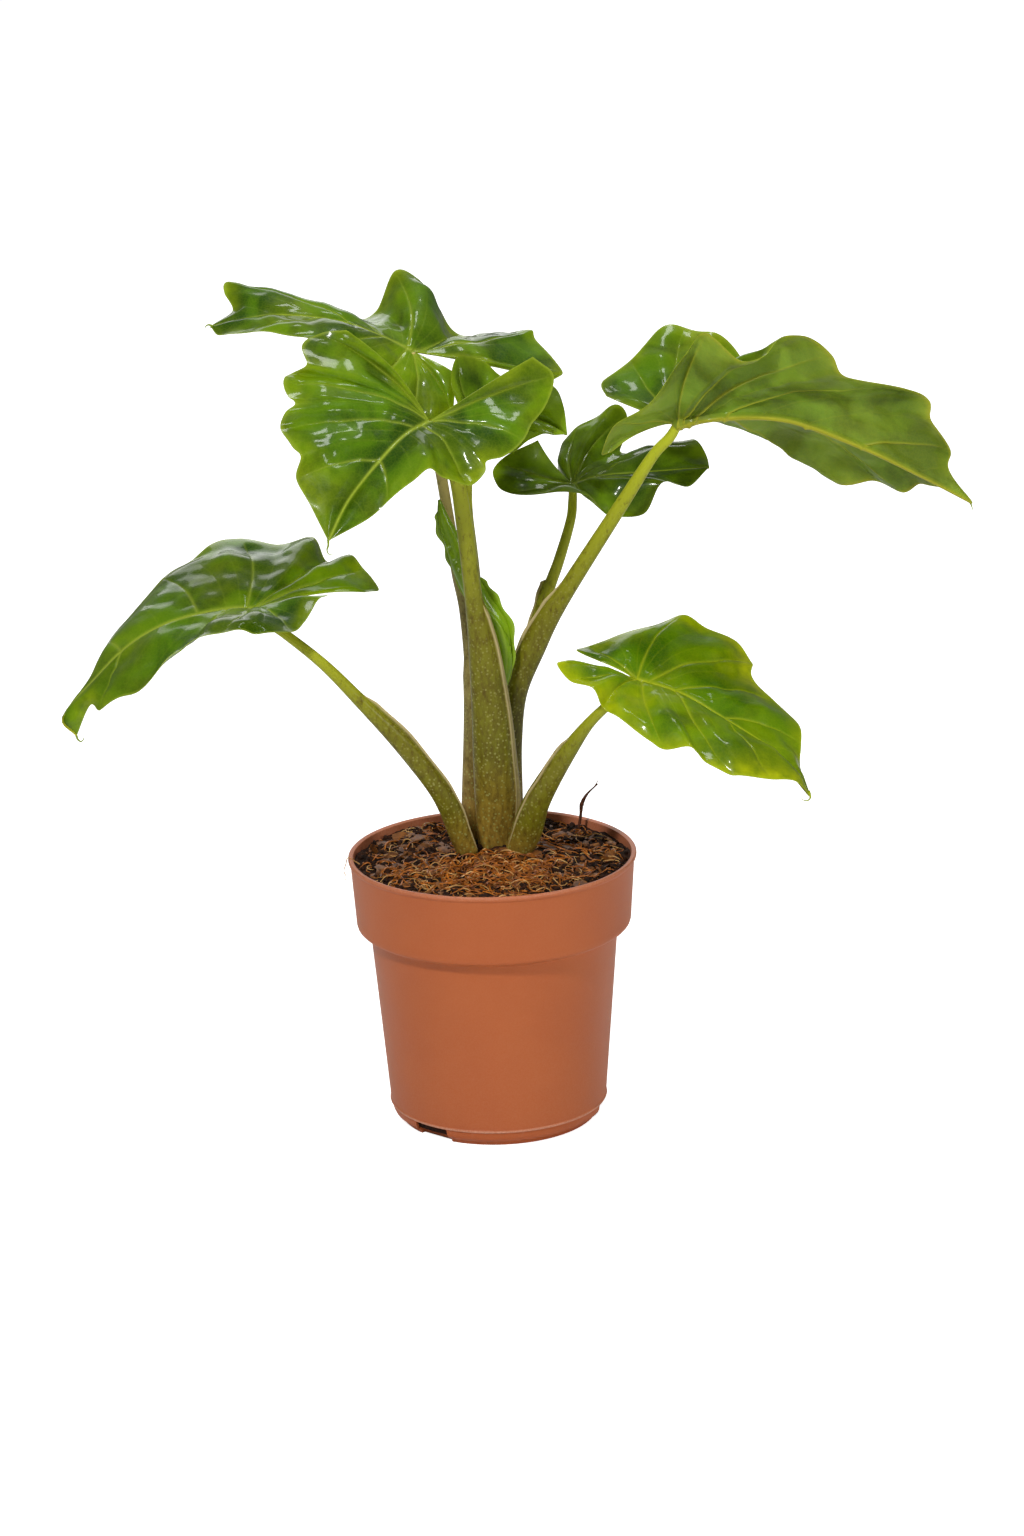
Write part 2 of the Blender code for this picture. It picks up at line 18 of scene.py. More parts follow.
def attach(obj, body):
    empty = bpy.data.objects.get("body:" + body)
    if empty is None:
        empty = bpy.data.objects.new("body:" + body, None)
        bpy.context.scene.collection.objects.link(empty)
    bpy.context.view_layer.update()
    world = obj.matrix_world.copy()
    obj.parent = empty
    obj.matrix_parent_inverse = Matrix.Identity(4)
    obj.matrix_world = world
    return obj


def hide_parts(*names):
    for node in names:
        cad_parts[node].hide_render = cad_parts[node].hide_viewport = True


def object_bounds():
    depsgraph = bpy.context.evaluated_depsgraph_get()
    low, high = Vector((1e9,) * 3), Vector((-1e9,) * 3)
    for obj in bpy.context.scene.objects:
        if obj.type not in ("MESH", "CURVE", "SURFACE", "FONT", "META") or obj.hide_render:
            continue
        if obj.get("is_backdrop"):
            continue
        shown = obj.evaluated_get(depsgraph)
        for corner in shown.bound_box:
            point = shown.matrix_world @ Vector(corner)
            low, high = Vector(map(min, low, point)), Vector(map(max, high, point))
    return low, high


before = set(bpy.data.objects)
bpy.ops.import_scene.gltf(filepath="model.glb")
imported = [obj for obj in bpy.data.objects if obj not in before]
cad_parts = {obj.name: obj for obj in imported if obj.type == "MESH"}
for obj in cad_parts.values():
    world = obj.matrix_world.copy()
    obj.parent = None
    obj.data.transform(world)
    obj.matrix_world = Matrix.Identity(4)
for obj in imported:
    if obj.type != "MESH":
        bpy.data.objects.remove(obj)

CAD_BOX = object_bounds()
MM = 0.001
print("nodes in the frame:", len(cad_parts))
print("size in mm:", [round((high - low) / MM) for low, high in zip(*CAD_BOX)])

# %% [markdown]
# ## Camera
#
# The photograph was taken with a long lens from a little above, so upright lines hardly lean. A long lens far
# away gives the same flat look. The picture is 1024 by 1536, and Blender measures the sensor along the longer
# side. Depth of field stays off, because the whole plant is sharp.

# %% Set the camera
CAMERA_PLACE = Vector((15.97, -2769.82, 1098.86)) * MM
CAMERA_TARGET = Vector((15.97, 0, 263.13)) * MM
CAMERA_ROLL = math.radians(-1.48)
SENSOR_WIDTH = 36.0
FOCAL_IN_PIXELS, PICTURE_HEIGHT = 4000, 1536
FAR_CLIP = 50.0

camera = bpy.data.objects.new("camera", bpy.data.cameras.new("camera"))
bpy.context.scene.collection.objects.link(camera)
camera.data.sensor_width = SENSOR_WIDTH
camera.data.lens = SENSOR_WIDTH * FOCAL_IN_PIXELS / PICTURE_HEIGHT
camera.data.clip_end = FAR_CLIP
look = (CAMERA_TARGET - CAMERA_PLACE).to_track_quat("-Z", "Y").to_matrix()
tilted_look = look @ Matrix.Rotation(CAMERA_ROLL, 3, "Z")
camera.matrix_world = Matrix.Translation(CAMERA_PLACE) @ tilted_look.to_4x4()
bpy.context.scene.camera = camera
print("lens in mm:", round(camera.data.lens, 2))

# %% [markdown]
# ## Colours and nodes
#
# Colours are read off a screen as sRGB hex values, but a shader wants linear light, so one function turns
# one into the other. A second small function adds a shader node with its settings and links, which keeps each
# material's recipe readable: one line for each step. In a colour mix, socket 0 is the share of the upper
# tint, 6 is the tint below, 7 is the tint above, and output 2 is the result.

# %% Colour and node helpers


def linear(hex_colour):
    """An sRGB colour such as "a1b2c3" as linear red, green, blue and alpha."""
    parts = [int(hex_colour[i:i + 2], 16) / 255 for i in (0, 2, 4)]
    return (*[c / 12.92 if c <= 0.04045 else ((c + 0.055) / 1.055) ** 2.4 for c in parts], 1)


def fill(tree, node, inputs):
    """Sets a node's sockets, by name or number, to a value or links them from another node's output."""
    for socket, value in dict(inputs).items():
        if isinstance(value, bpy.types.NodeSocket):
            tree.links.new(value, node.inputs[socket])
        else:
            node.inputs[socket].default_value = value


def add(tree, kind, inputs=(), **settings):
    """Adds a node of that kind, with its settings and its sockets filled."""
    node = tree.nodes.new("ShaderNode" + kind)
    for name, value in settings.items():
        setattr(node, name, value)
    fill(tree, node, inputs)
    return node


def start_material(name):
    """A new material, with its node tree and its shader."""
    made = bpy.data.materials.new(name)
    made.use_nodes = True
    return made, made.node_tree, made.node_tree.nodes["Principled BSDF"]


print("mid grey is", round(linear("808080")[0], 3), "in linear light")

# %% [markdown]
# ## Floor and light
#
# The plant stands on plain white paper in a white studio. A waxy leaf mirrors its lamps, so their size
# matters as much as their place. Three small ones, a key lamp above the viewer's left shoulder, a weaker fill
# lamp on the right and one above, give the small sharp glints. A wide panel behind the plant gives the soft
# sheen on leaves that face up. A bright room would lay a white veil on the leaves and grey out their green,
# so the room gives little light. Paper and room are still seen as pure white, as a photographer shows a
# product: both are brightened for the camera's rays alone, and the plant isn't lit by that.

# %% Make the floor and the lamps
PAPER_GLOW, SKY_LIGHT = 0.86, 0.18


def plain_paper():
    """Matt white paper: no gloss, so it shows only soft shade."""
    paper, tree, shader = start_material("white_paper")
    seen = add(tree, "LightPath").outputs["Is Camera Ray"]
    glow = add(tree, "Math", {0: seen, 1: PAPER_GLOW}, operation="MULTIPLY")
    fill(tree, shader, {"Base Color": linear("fcfcfa"), "Roughness": 0.9, "Specular IOR Level": 0.1,
                        "Emission Color": linear("fffffe"), "Emission Strength": glow.outputs[0]})
    return paper


def make_floor(size=30.0):
    bm = bmesh.new()
    bmesh.ops.create_grid(bm, x_segments=1, y_segments=1, size=size)
    mesh = bpy.data.meshes.new("floor")
    bm.to_mesh(mesh)
    bm.free()
    mesh.materials.append(plain_paper())
    floor = bpy.data.objects.new("floor", mesh)
    bpy.context.scene.collection.objects.link(floor)
    floor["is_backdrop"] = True


def make_lamp(name, place, target, size, power):
    """A square soft box that faces the target. Its size is in metres and its power in watts."""
    lamp = bpy.data.objects.new(name, bpy.data.lights.new(name, "AREA"))
    bpy.context.scene.collection.objects.link(lamp)
    lamp.data.size = size
    lamp.data.energy = power
    lamp.location = place
    lamp.rotation_euler = (Vector(target) - Vector(place)).to_track_quat("-Z", "Y").to_euler()


def make_sky(strength):
    """An even white room. It looks as white as the paper, but lights the plant with this strength alone."""
    world = bpy.data.worlds.new("white_room")
    world.use_nodes = True
    tree = world.node_tree
    seen = add(tree, "LightPath").outputs["Is Camera Ray"]
    glow = add(tree, "MapRange", {"Value": seen, "To Min": strength, "To Max": 1})
    fill(tree, tree.nodes["Background"], {"Color": linear("ffffff"), "Strength": glow.outputs[0]})
    bpy.context.scene.world = world
    bpy.context.scene.view_settings.view_transform = "Standard"


PLANT_MIDDLE = (0, 0, 0.35)
make_floor()
make_lamp("key_softbox", (-0.8, -1.9, 2.2), PLANT_MIDDLE, 0.3, 44)
make_lamp("fill_softbox", (1.7, -1.7, 1.1), PLANT_MIDDLE, 0.5, 14)
make_lamp("top_softbox", (0.5, 0.3, 2.5), PLANT_MIDDLE, 0.5, 13)
make_lamp("back_panel", (-0.4, 3.4, 2.2), PLANT_MIDDLE, 2.4, 34)
make_sky(SKY_LIGHT)

# %% [markdown]
# ## Smooth curves and finished pieces
#
# A grower sees a leaf as a few strong lines: the midrib and the side veins. Each line is kept here as a short
# row of points, and a Catmull-Rom curve runs smoothly through them. Whole grids of points are worked out at
# once with numpy, because a fine leaf has tens of thousands. One function then turns points and faces into a
# smooth mesh that rides on the frame.

# %% Curve and mesh helpers
WELD_DISTANCE = 0.02 * MM
SHARP_ANGLE = math.radians(60)
# The rings of a thin tube are all turned from this slanting direction, so the tube doesn't twist.
ASKEW = (0.31, 0.87, 0.39)


def unit(vectors):
    return vectors / np.maximum(np.linalg.norm(vectors, axis=-1, keepdims=True), 1e-9)


def on_curve(points, t):
    """Points at t, which runs from 0 to the last index, on a smooth curve through the given points."""
    points = np.asarray(points, float)
    points = np.vstack([2 * points[0] - points[1], points, 2 * points[-1] - points[-2]])
    t = np.atleast_1d(np.asarray(t, float))
    i = np.clip(t.astype(int), 0, len(points) - 4)
    f = (t - i)[:, None]
    p0, p1, p2, p3 = (points[i + k] for k in range(4))
    bend = (2 * p0 - 5 * p1 + 4 * p2 - p3) * f**2 + (3 * p1 - p0 - 3 * p2 + p3) * f**3
    return p1 + ((p2 - p0) * f + bend) / 2


def ripple(points, size, seed=0.0):
    """Smooth noise from -1 to 1 at each point, with lumps of about that size in mm."""
    flat = np.asarray(points).reshape(-1, 3) / size + seed
    return np.array([noise.noise(p) for p in flat]).reshape(np.shape(points)[:-1])


def make_piece(name, points, faces, finishes, slots=None, values=None, replaces=(), slot=None):
    """A smooth mesh from points in mm. Values are named numbers at each point, for its materials to read."""
    mesh = bpy.data.meshes.new(name)
    mesh.from_pydata([tuple(p) for p in np.asarray(points) * MM], [], [tuple(f) for f in faces])
    for finish in finishes:
        mesh.materials.append(finish)
    if slots is not None:
        mesh.polygons.foreach_set("material_index", np.asarray(slots, np.int32))
    for key, numbers in (values or {}).items():
        mesh.attributes.new(key, "FLOAT", "POINT").data.foreach_set("value", np.asarray(numbers, np.float32))
    bm = bmesh.new()
    bm.from_mesh(mesh)
    bmesh.ops.remove_doubles(bm, verts=bm.verts, dist=WELD_DISTANCE)
    bmesh.ops.delete(bm, geom=[v for v in bm.verts if not v.link_faces], context="VERTS")
    bm.to_mesh(mesh)
    bm.free()
    mesh.shade_smooth()
    mesh.set_sharp_from_angle(angle=SHARP_ANGLE)
    piece = bpy.data.objects.new(name, mesh)
    bpy.context.scene.collection.objects.link(piece)
    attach(piece, "root")
    if replaces:
        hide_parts(*replaces)
    return piece


def grid_faces(rows, columns, start=0, closed=False, flip=False):
    """Quads over a grid of points, row by row. A closed grid joins its last column to its first."""
    at = start + np.arange(rows * columns).reshape(rows, columns)
    if closed:
        at = np.hstack([at, at[:, :1]])
    quads = np.stack([at[:-1, :-1], at[:-1, 1:], at[1:, 1:], at[1:, :-1]], axis=-1).reshape(-1, 4)
    return quads[:, ::-1] if flip else quads


def tube(path, radii, sides):
    """Rings of points round a path in mm, with the faces between them. Its two ends stay open."""
    path = np.asarray(path, float)
    along = unit(np.gradient(path, axis=0))
    over = unit(np.cross(along, ASKEW))
    away = np.cross(along, over)
    angle = np.arange(sides) * math.tau / sides
    rings = over[:, None] * np.cos(angle)[None, :, None] + away[:, None] * np.sin(angle)[None, :, None]
    points = path[:, None] + rings * np.asarray(radii, float).reshape(-1, 1, 1)
    return points.reshape(-1, 3), grid_faces(len(path), sides, closed=True)


print("a curve through three points is at", on_curve([(0, 0, 0), (1, 1, 0), (2, 0, 0)], 0.5)[0])

# %% [markdown]
# ## The shape of each leaf
#
# Every leaf has its own lie, so the rows below are the plant's real plan, the same as in the construction
# model. Each point is in millimetres from the attach point, where the petiole meets the blade. The midrib
# runs to the tip, and left and right hold the far ends of the side veins, from the edge of the notch at the
# back (the sinus) round the basal lobe to the tip. The first veins, up to number "basal", fan out from the
# attach point itself. Wave and arch are heights in millimetres, and ribs names each side's strong veins.

# %% Leaf rows
LEAVES = {
    "front": dict(
        attach=(-35, -40, 529),
        midrib=[(-15, -15, -5), (-30, -35, -15), (-55, -60, -40), (-70, -80, -65)],
        left=[(73, 30, 37), (87, 26, 24), (82, 15, 7), (71, 2, -5), (65, -8, -14), (50, -18, -23),
              (39, -24, -25), (37, -30, -32), (26, -38, -38), (10, -44, -32), (0, -50, -23), (-12, -58, -30),
              (-29, -66, -42), (-44, -72, -53)],
        right=[(-56, 20, 61), (-75, 18, 60), (-87, 10, 53), (-84, -4, 41), (-94, -8, 39), (-100, -16, 32),
               (-96, -24, 24), (-91, -27, 21), (-99, -34, 13), (-101, -40, 6), (-94, -48, -5),
               (-88, -54, -13), (-91, -60, -25), (-81, -70, -44)],
        basal=3, wave=1.5, arch=4.0, ribs=dict(left=(1, 4, 8, 12), right=(1, 5, 9, 12)),
    ),
    "back_left": dict(
        attach=(-47, 40, 563),
        midrib=[(-25, -4, 14), (-52, -6, 24), (-96, -10, 30), (-142, -15, 24)],
        left=[(30, -10, -15), (29, -18, -30), (27, -25, -44), (18, -31, -54), (7, -35, -58), (-7, -38, -55),
              (-21, -40, -49), (-34, -40, -37), (-44, -40, -23), (-54, -40, -9), (-61, -40, 2),
              (-68, -42, 13), (-76, -42, 19), (-97, -40, 24), (-120, -35, 22), (-135, -25, 19)],
        right=[(100, 20, -28), (107, 28, -22), (89, 56, -6), (83, 64, 0), (59, 68, -2), (32, 60, -1),
               (18, 64, 20), (5, 70, 40), (-14, 70, 44), (-26, 58, 20), (-44, 50, 14), (-74, 40, 25),
               (-107, 26, 43), (-131, 20, 48), (-133, 13, 42), (-127, 2, 32)],
        basal=4, wave=1.5, arch=4.0, ribs=dict(left=(2, 5, 8, 11, 14), right=(1, 3, 5, 8, 11, 13)),
    ),
    "right": dict(
        attach=(140, 20, 511),
        midrib=[(26, -5, 5), (76, -14, 4), (128, -24, -15), (170, -30, -36), (206, -35, -56)],
        left=[(-50, 20, 16), (-52, 35, 23), (-31, 55, 35), (-11, 75, 51), (9, 80, 52), (29, 78, 50),
              (46, 75, 36), (56, 66, 15), (61, 56, -4), (72, 46, -18), (87, 38, -32), (101, 34, -37),
              (114, 30, -55), (140, 20, -50), (161, 8, -58), (173, -2, -50), (187, -15, -49)],
        right=[(-48, -10, -19), (-55, -15, -18), (-45, -20, 3), (-20, -30, 20), (3, -40, 57), (19, -48, 70),
               (42, -54, 53), (57, -58, 59), (70, -61, 67), (85, -64, 73), (104, -65, 58), (115, -65, 39),
               (154, -62, 36), (172, -60, 21), (174, -56, 7), (189, -48, -14), (188, -42, -31)],
        basal=4, wave=1.5, arch=4.0, ribs=dict(left=(2, 4, 7, 9, 12, 14), right=(2, 5, 7, 10, 12, 15)),
    ),
    "back_right": dict(
        attach=(65, 70, 457),
        midrib=[(20, 0, 5), (56, 0, 7), (100, 5, 8)],
        left=[(-10, 25, 6), (-6, 35, 22), (5, 40, 34), (24, 45, 42), (42, 45, 40), (36, 35, 16),
              (52, 35, 12), (70, 35, 18), (86, 30, 24), (98, 18, 14)],
        right=[(-24, 20, 28), (-54, 8, 16), (-56, -5, 4), (-44, -12, -6), (-12, -20, 0), (12, -24, -6),
               (26, -30, -18), (50, -25, -16), (66, -20, 0), (86, -10, 0)],
        basal=4, wave=4.0, arch=4.0, ribs=dict(left=(2, 4, 6, 8), right=(1, 3, 6, 8)),
    ),
    "low_left": dict(
        attach=(-164, -20, 393),
        midrib=[(-20, -1, 0), (-57, -8, -6), (-87, -14, -20), (-112, -19, -42), (-138, -24, -70),
                (-128, -28, -84)],
        left=[(53, -5, 9), (46, -12, 7), (37, -32, -3), (28, -44, -7), (8, -56, -5), (-4, -58, -1),
              (-18, -62, -2), (-40, -64, -6), (-52, -63, -14), (-65, -58, -29), (-79, -52, -44),
              (-93, -46, -50), (-109, -36, -63), (-117, -28, -61)],
        right=[(78, 25, 3), (88, 35, 3), (77, 52, 13), (67, 62, 20), (50, 68, 18), (39, 82, 29),
               (13, 85, 25), (-14, 94, 30), (-34, 82, 25), (-51, 70, 18), (-69, 54, 9), (-88, 34, -10),
               (-108, 14, -28), (-115, -8, -54)],
        basal=3, wave=1.5, arch=5.0, ribs=dict(left=(3, 6, 9, 12), right=(2, 4, 7, 10, 12)),
    ),
    "low_right": dict(
        attach=(106, -45, 340),
        midrib=[(30, -10, -8), (58, -25, -22), (92, -42, -42), (118, -55, -72)],
        left=[(-27, 8, 12), (-42, 19, 17), (-33, 28, 18), (-14, 40, 21), (12, 50, 25), (35, 60, 31),
              (52, 57, 21), (75, 49, 11), (84, 37, 0), (83, 27, -9), (98, 9, -21), (113, -7, -33),
              (114, -21, -46), (113, -35, -58)],
        right=[(-35, -3, 9), (-56, -14, 18), (-48, -21, 6), (-32, -29, 2), (-25, -38, -9), (-14, -46, -16),
               (5, -57, -28), (16, -65, -32), (34, -69, -32), (45, -73, -40), (59, -77, -48), (69, -77, -51),
               (90, -73, -53), (107, -65, -59)],
        basal=4, wave=1.2, arch=5.0, ribs=dict(left=(2, 5, 8, 10, 12), right=(2, 4, 7, 10, 12)),
    ),
    "behind": dict(
        attach=(-3, 15, 513),
        midrib=[(20, -4, 8), (42, -10, 6), (64, -20, -4)],
        left=[(-11, 2, 10), (-17, 6, 30), (-12, 20, 46), (6, 30, 40), (20, 30, 28), (40, 20, 28),
              (56, 5, 25), (62, -10, 14)],
        right=[(-12, -4, -2), (-18, -10, -8), (-6, -22, -20), (10, -30, -18), (26, -30, -12), (38, -26, -6),
               (47, -25, -2), (56, -24, -3)],
        basal=3, wave=1.5, arch=2.0, ribs=dict(left=(2, 4, 6), right=(2, 4, 6)),
    ),
}
rib_counts = [len(side) for leaf in LEAVES.values() for side in leaf["ribs"].values()]
print("leaves:", len(LEAVES), "with", sum(rib_counts), "strong side veins")

# %% [markdown]
# ## The leaf as a bent fan
#
# A flat sheet could be bent with a lattice, or a leaf sculpted by hand, but then its veins would have to be
# painted on afterwards. Here the blade is woven from its own veins: one row of points runs out along each
# vein and between them, so the swellings, the waves of the margin and the vein lines all follow the growth of
# the leaf. The veins start close together near the attach point, which makes them sweep forward. Two sine
# waves whose lengths don't match give the margin an uneven ruffle.

# %% The blade's surface
ROOT_CROWDING = 3.0
VEIN_SWEEP = 0.07
LIFT_POWER = 1.25
RUFFLE_RATES = (2.3, 3.9)
RUFFLE_SHARE = 0.6
FULL_WAVE_LENGTH = 80


class BladeShape:
    """The surface of one blade. Numbered veins run from 0, the edge of the sinus, to the tip."""

    def __init__(self, leaf):
        self.attach = np.array(leaf["attach"], float)
        self.midrib = np.array([(0, 0, 0)] + leaf["midrib"], float)
        tip = leaf["midrib"][-1]
        self.ends = {side: np.array(leaf[side] + [tip], float) for side in ("left", "right")}
        self.veins, self.basal, self.ribs = len(leaf["left"]), leaf["basal"], leaf["ribs"]
        self.wave, self.arch = leaf["wave"], leaf["arch"]

    def place(self, vein):
        """Where along the midrib, from 0 to 1, each vein starts."""
        return np.maximum(0, (vein - self.basal) / (self.veins - self.basal)) ** ROOT_CROWDING

    def root(self, place):
        return on_curve(self.midrib, place * (len(self.midrib) - 1))

    def forward(self, place):
        return unit(self.root(np.minimum(place + 0.08, 1)) - self.root(np.maximum(place - 0.08, 0)))

    def up(self, vein):
        """The upper face's direction at the midrib, where each vein starts."""
        vein = np.clip(vein, self.basal + 0.5, self.veins - 1)
        root, ahead = self.root(self.place(vein)), self.forward(self.place(vein))
        left = np.cross(ahead, on_curve(self.ends["left"], vein) - root)
        right = np.cross(on_curve(self.ends["right"], vein) - root, ahead)
        return unit(unit(left) + unit(right))

    def half(self, side, across, vein):
        """Points for every vein number and every place across, from 0 at the midrib to 1 at the margin."""
        root, up = self.root(self.place(vein))[:, None], self.up(vein)[:, None]
        reach = on_curve(self.ends[side], vein)[:, None] - root
        lift = up * (reach * up).sum(2, keepdims=True)
        flat = reach - lift
        size = np.linalg.norm(reach, axis=2, keepdims=True) / FULL_WAVE_LENGTH
        out = across[None, :, None]
        arch = np.sin(math.pi * out)
        turn = 0 if side == "left" else 2
        slow, quick = (np.sin(rate * vein + turn) for rate in RUFFLE_RATES)
        calm = np.clip(np.minimum(vein - 0.5, self.veins - vein), 0, 1)
        ruffle = (calm * (slow + RUFFLE_SHARE * quick))[:, None, None]
        proud = size * (self.arch * arch + self.wave * ruffle * out**2)
        ahead = self.forward(self.place(vein))[:, None]
        swept = ahead * -VEIN_SWEEP * np.linalg.norm(flat, axis=2, keepdims=True) * arch
        return self.attach + root + flat * out + swept + lift * out**LIFT_POWER + up * proud


front_midrib = BladeShape(LEAVES["front"]).midrib
print("the front leaf's midrib in mm:", round(np.linalg.norm(np.diff(front_midrib, axis=0), axis=1).sum()))

# %% [markdown]
# ## Relief: veins, quilting and thickness
#
# Up close a few strong side veins cross each half of the upper face: the blade swells a little between them
# and is drawn down into a soft groove at each one. Underneath, the same veins stand out as ribs, with the
# midrib as the stoutest, and the weaker veins hardly show. The grid is closer together near each vein, so
# these lines are real geometry. The same distances, in mm, tell the material where to colour the veins and
# the margin.

# %% Fine blade grid
ROWS_PER_VEIN = 12
COLUMNS_PER_HALF = 42
VEIN_CROWDING = 0.11
RIB_CROWDING = 1.35
BLADE_THICKNESS = 0.6
SWELL_HEIGHT = 2.3


def vein_rows(count):
    """Vein numbers for the grid's rows, closer together near each whole number."""
    even = np.linspace(0, count, count * ROWS_PER_VEIN + 1)
    return even - VEIN_CROWDING * np.sin(math.tau * even)


def blade_grid(shape):
    """The blade's middle surface as rows of points from the left margin to the right, with its normals."""
    vein = vein_rows(shape.veins)
    across = np.linspace(0, 1, COLUMNS_PER_HALF + 1) ** RIB_CROWDING
    grid = np.hstack([shape.half("left", across, vein)[:, ::-1], shape.half("right", across[1:], vein)])
    return vein, np.hstack([-across[::-1], across[1:]]), grid


def normals_of(shape, vein, grid):
    sideways = np.gradient(grid, axis=1)
    ahead = np.gradient(grid, axis=0)
    normal = np.cross(sideways, ahead)
    flat = np.linalg.norm(normal, axis=2, keepdims=True) < 1e-4
    return np.where(flat, shape.up(vein)[:, None], unit(normal))


def distances(shape, vein, grid):
    """How far each point is, in mm, from the midrib, the nearest strong and weak side vein and the margin."""
    middle = grid.shape[1] // 2
    steps = np.linalg.norm(np.diff(grid, axis=1), axis=2)
    left = np.cumsum(steps[:, :middle][:, ::-1], axis=1)[:, ::-1]
    right = np.cumsum(steps[:, middle:], axis=1)
    rib = np.hstack([left, np.zeros((len(grid), 1)), right])
    margin = np.hstack([left[:, :1] - left, np.minimum(left[:, :1], right[:, -1:]), right[:, -1:] - right])
    spacing = np.linalg.norm(np.gradient(grid, vein, axis=0), axis=2)
    step = {}
    for side, ribs in shape.ribs.items():
        step[side] = np.abs(vein[:, None] - np.array(ribs)).min(axis=1)[:, None]
    strong = np.hstack([step["left"] * spacing[:, :middle], step["right"] * spacing[:, middle:]])
    weak = np.abs(vein - np.clip(np.round(vein), 1, shape.veins - 1))[:, None] * spacing
    margin = np.minimum(margin, vein[:, None] * spacing)
    return rib, strong, weak, margin


def swelling(shape, vein):
    """From 0 on a strong vein to 1 halfway to the next one, for each row and for each half of the blade."""
    halves = {}
    for side, ribs in shape.ribs.items():
        knots = np.array([0, *ribs, shape.veins], float)
        i = np.clip(np.searchsorted(knots, vein, side="right") - 1, 0, len(knots) - 2)
        halves[side] = np.sin(math.pi * (vein - knots[i]) / (knots[i + 1] - knots[i]))[:, None]
    return halves


def line(distance, width):
    """1 on a line, falling away smoothly at about that half width."""
    return np.exp(-((distance / width) ** 2))


print("rows on a leaf of ten veins:", len(vein_rows(10)))

# %% [markdown]
# ## Waxy leaf skin
#
# A taro's upper leaf skin is a smooth living tissue with a clear waxy coat, so it mirrors the lamps in crisp
# white glints while the green below stays soft. The coat of the shader stands for the wax, and the skin
# under it has little gloss of its own, which would grey its green. The wax is thin on the underside, which is
# greyer and more matt. Both faces are patchy, with pale veins, a thin pale margin and yellowish patches. A
# band along the margin is also tinted lighter, as a painted glow of light shining through the thin blade. The
# finest veins are a net with meshes of 2.6 mm, and the skin crinkles in low lumps of 9 mm.

# %% Leaf materials
# In mm: a mesh of the vein net, a lump of the skin, and how far both stand out.
NET_SIZE, LUMP_SIZE, SKIN_RELIEF = 2.6, 9, 1.4


def leaf_skin(name, deep, body, ripe_and_glow, vein_tint, gloss, coat, patch_mm=42):
    """Leaf tissue in three greens: deep, body, and a yellow-green for yellowing patches and for the painted glow
    of light through the thin margin. Gloss is the roughness under the wax.
    """
    made, tree, shader = start_material(name)
    place = add(tree, "TexCoord").outputs["Object"]
    patches = add(tree, "TexNoise", {"Vector": place, "Scale": 1000 / patch_mm, "Detail": 4,
                                     "Distortion": 0.6})
    patch = add(tree, "MapRange", {"Value": patches.outputs["Fac"], "From Min": 0.42, "From Max": 0.6})
    flecks = add(tree, "TexNoise", {"Vector": place, "Scale": 1000 / LUMP_SIZE, "Detail": 5}).outputs["Fac"]
    # This attribute marks random yellowing and, along the margin, a painted glow of light shining through the
    # thin blade.
    tone = add(tree, "Attribute", attribute_name="ripe_and_glow").outputs["Fac"]
    ripen_and_glow = add(tree, "Math", {0: tone, 1: flecks}, operation="MULTIPLY")
    net = add(tree, "TexVoronoi", {"Vector": place, "Scale": 1000 / NET_SIZE}, feature="DISTANCE_TO_EDGE")
    edge = net.outputs["Distance"]
    thread = add(tree, "MapRange", {"Value": edge, "From Max": 0.12, "To Min": 0.1, "To Max": 0})
    vein = add(tree, "Attribute", attribute_name="vein").outputs["Fac"]
    colour = add(tree, "Mix", {0: patch.outputs[0], 6: linear(deep), 7: linear(body)}, data_type="RGBA")
    for share, tint in ((ripen_and_glow.outputs[0], ripe_and_glow), (thread.outputs[0], vein_tint), (vein, vein_tint)):
        colour = add(tree, "Mix", {0: share, 6: colour.outputs[2], 7: linear(tint)}, data_type="RGBA")
    wax = add(tree, "MapRange", {"Value": flecks, "To Min": gloss - 0.08, "To Max": gloss + 0.12})
    crinkle = add(tree, "TexNoise", {"Vector": place, "Scale": 1000 / LUMP_SIZE, "Detail": 2})
    raised = add(tree, "Math", {0: edge, 1: 0.2, 2: crinkle.outputs["Fac"]}, operation="MULTIPLY_ADD")
    bump = add(tree, "Bump", {"Height": raised.outputs[0], "Strength": 0.4, "Distance": SKIN_RELIEF * MM})
    fill(tree, shader, {"Base Color": colour.outputs[2], "Roughness": wax.outputs[0], "IOR": 1.45,
                        "Specular IOR Level": 0.1, "Coat Weight": coat, "Coat IOR": 1.3,
                        "Coat Roughness": 0.11, "Normal": bump.outputs["Normal"]})
    return made


UPPER_SKIN = {
    "mature": leaf_skin("waxy_mature_leaf", "2a4a01", "527902", "96aa06", "92a430", 0.38, 0.7),
    "shaded": leaf_skin("waxy_shaded_leaf", "2e4803", "5e8005", "90aa0e", "7a8c20", 0.38, 0.7),
    "bright": leaf_skin("waxy_bright_leaf", "3a6001", "5a8201", "c2c802", "a8b41e", 0.38, 0.6),
}
UNDER_SKIN = leaf_skin("matt_leaf_underside", "52681a", "729028", "a6b834", "aaa82c", 0.42, 0.3)
LEAF_SKINS = {"back_right": "shaded", "behind": "shaded", "low_right": "bright"}
print("leaf materials:", len(UPPER_SKIN) + 1)

# %% [markdown]
# ## Make the blades
#
# Each blade is two grids back to back, an upper and a lower face, joined by a thin rim along the margin. The
# veins' lines are pressed into the upper face and raised on the lower one, and low swellings and crinkles
# move both. The drip tip, a fine curled thread at the end of the leaf that lets rain run off, is a tapered
# tube on the tip.

# %% Relief on both faces
FULL_RIB_LENGTH = 150


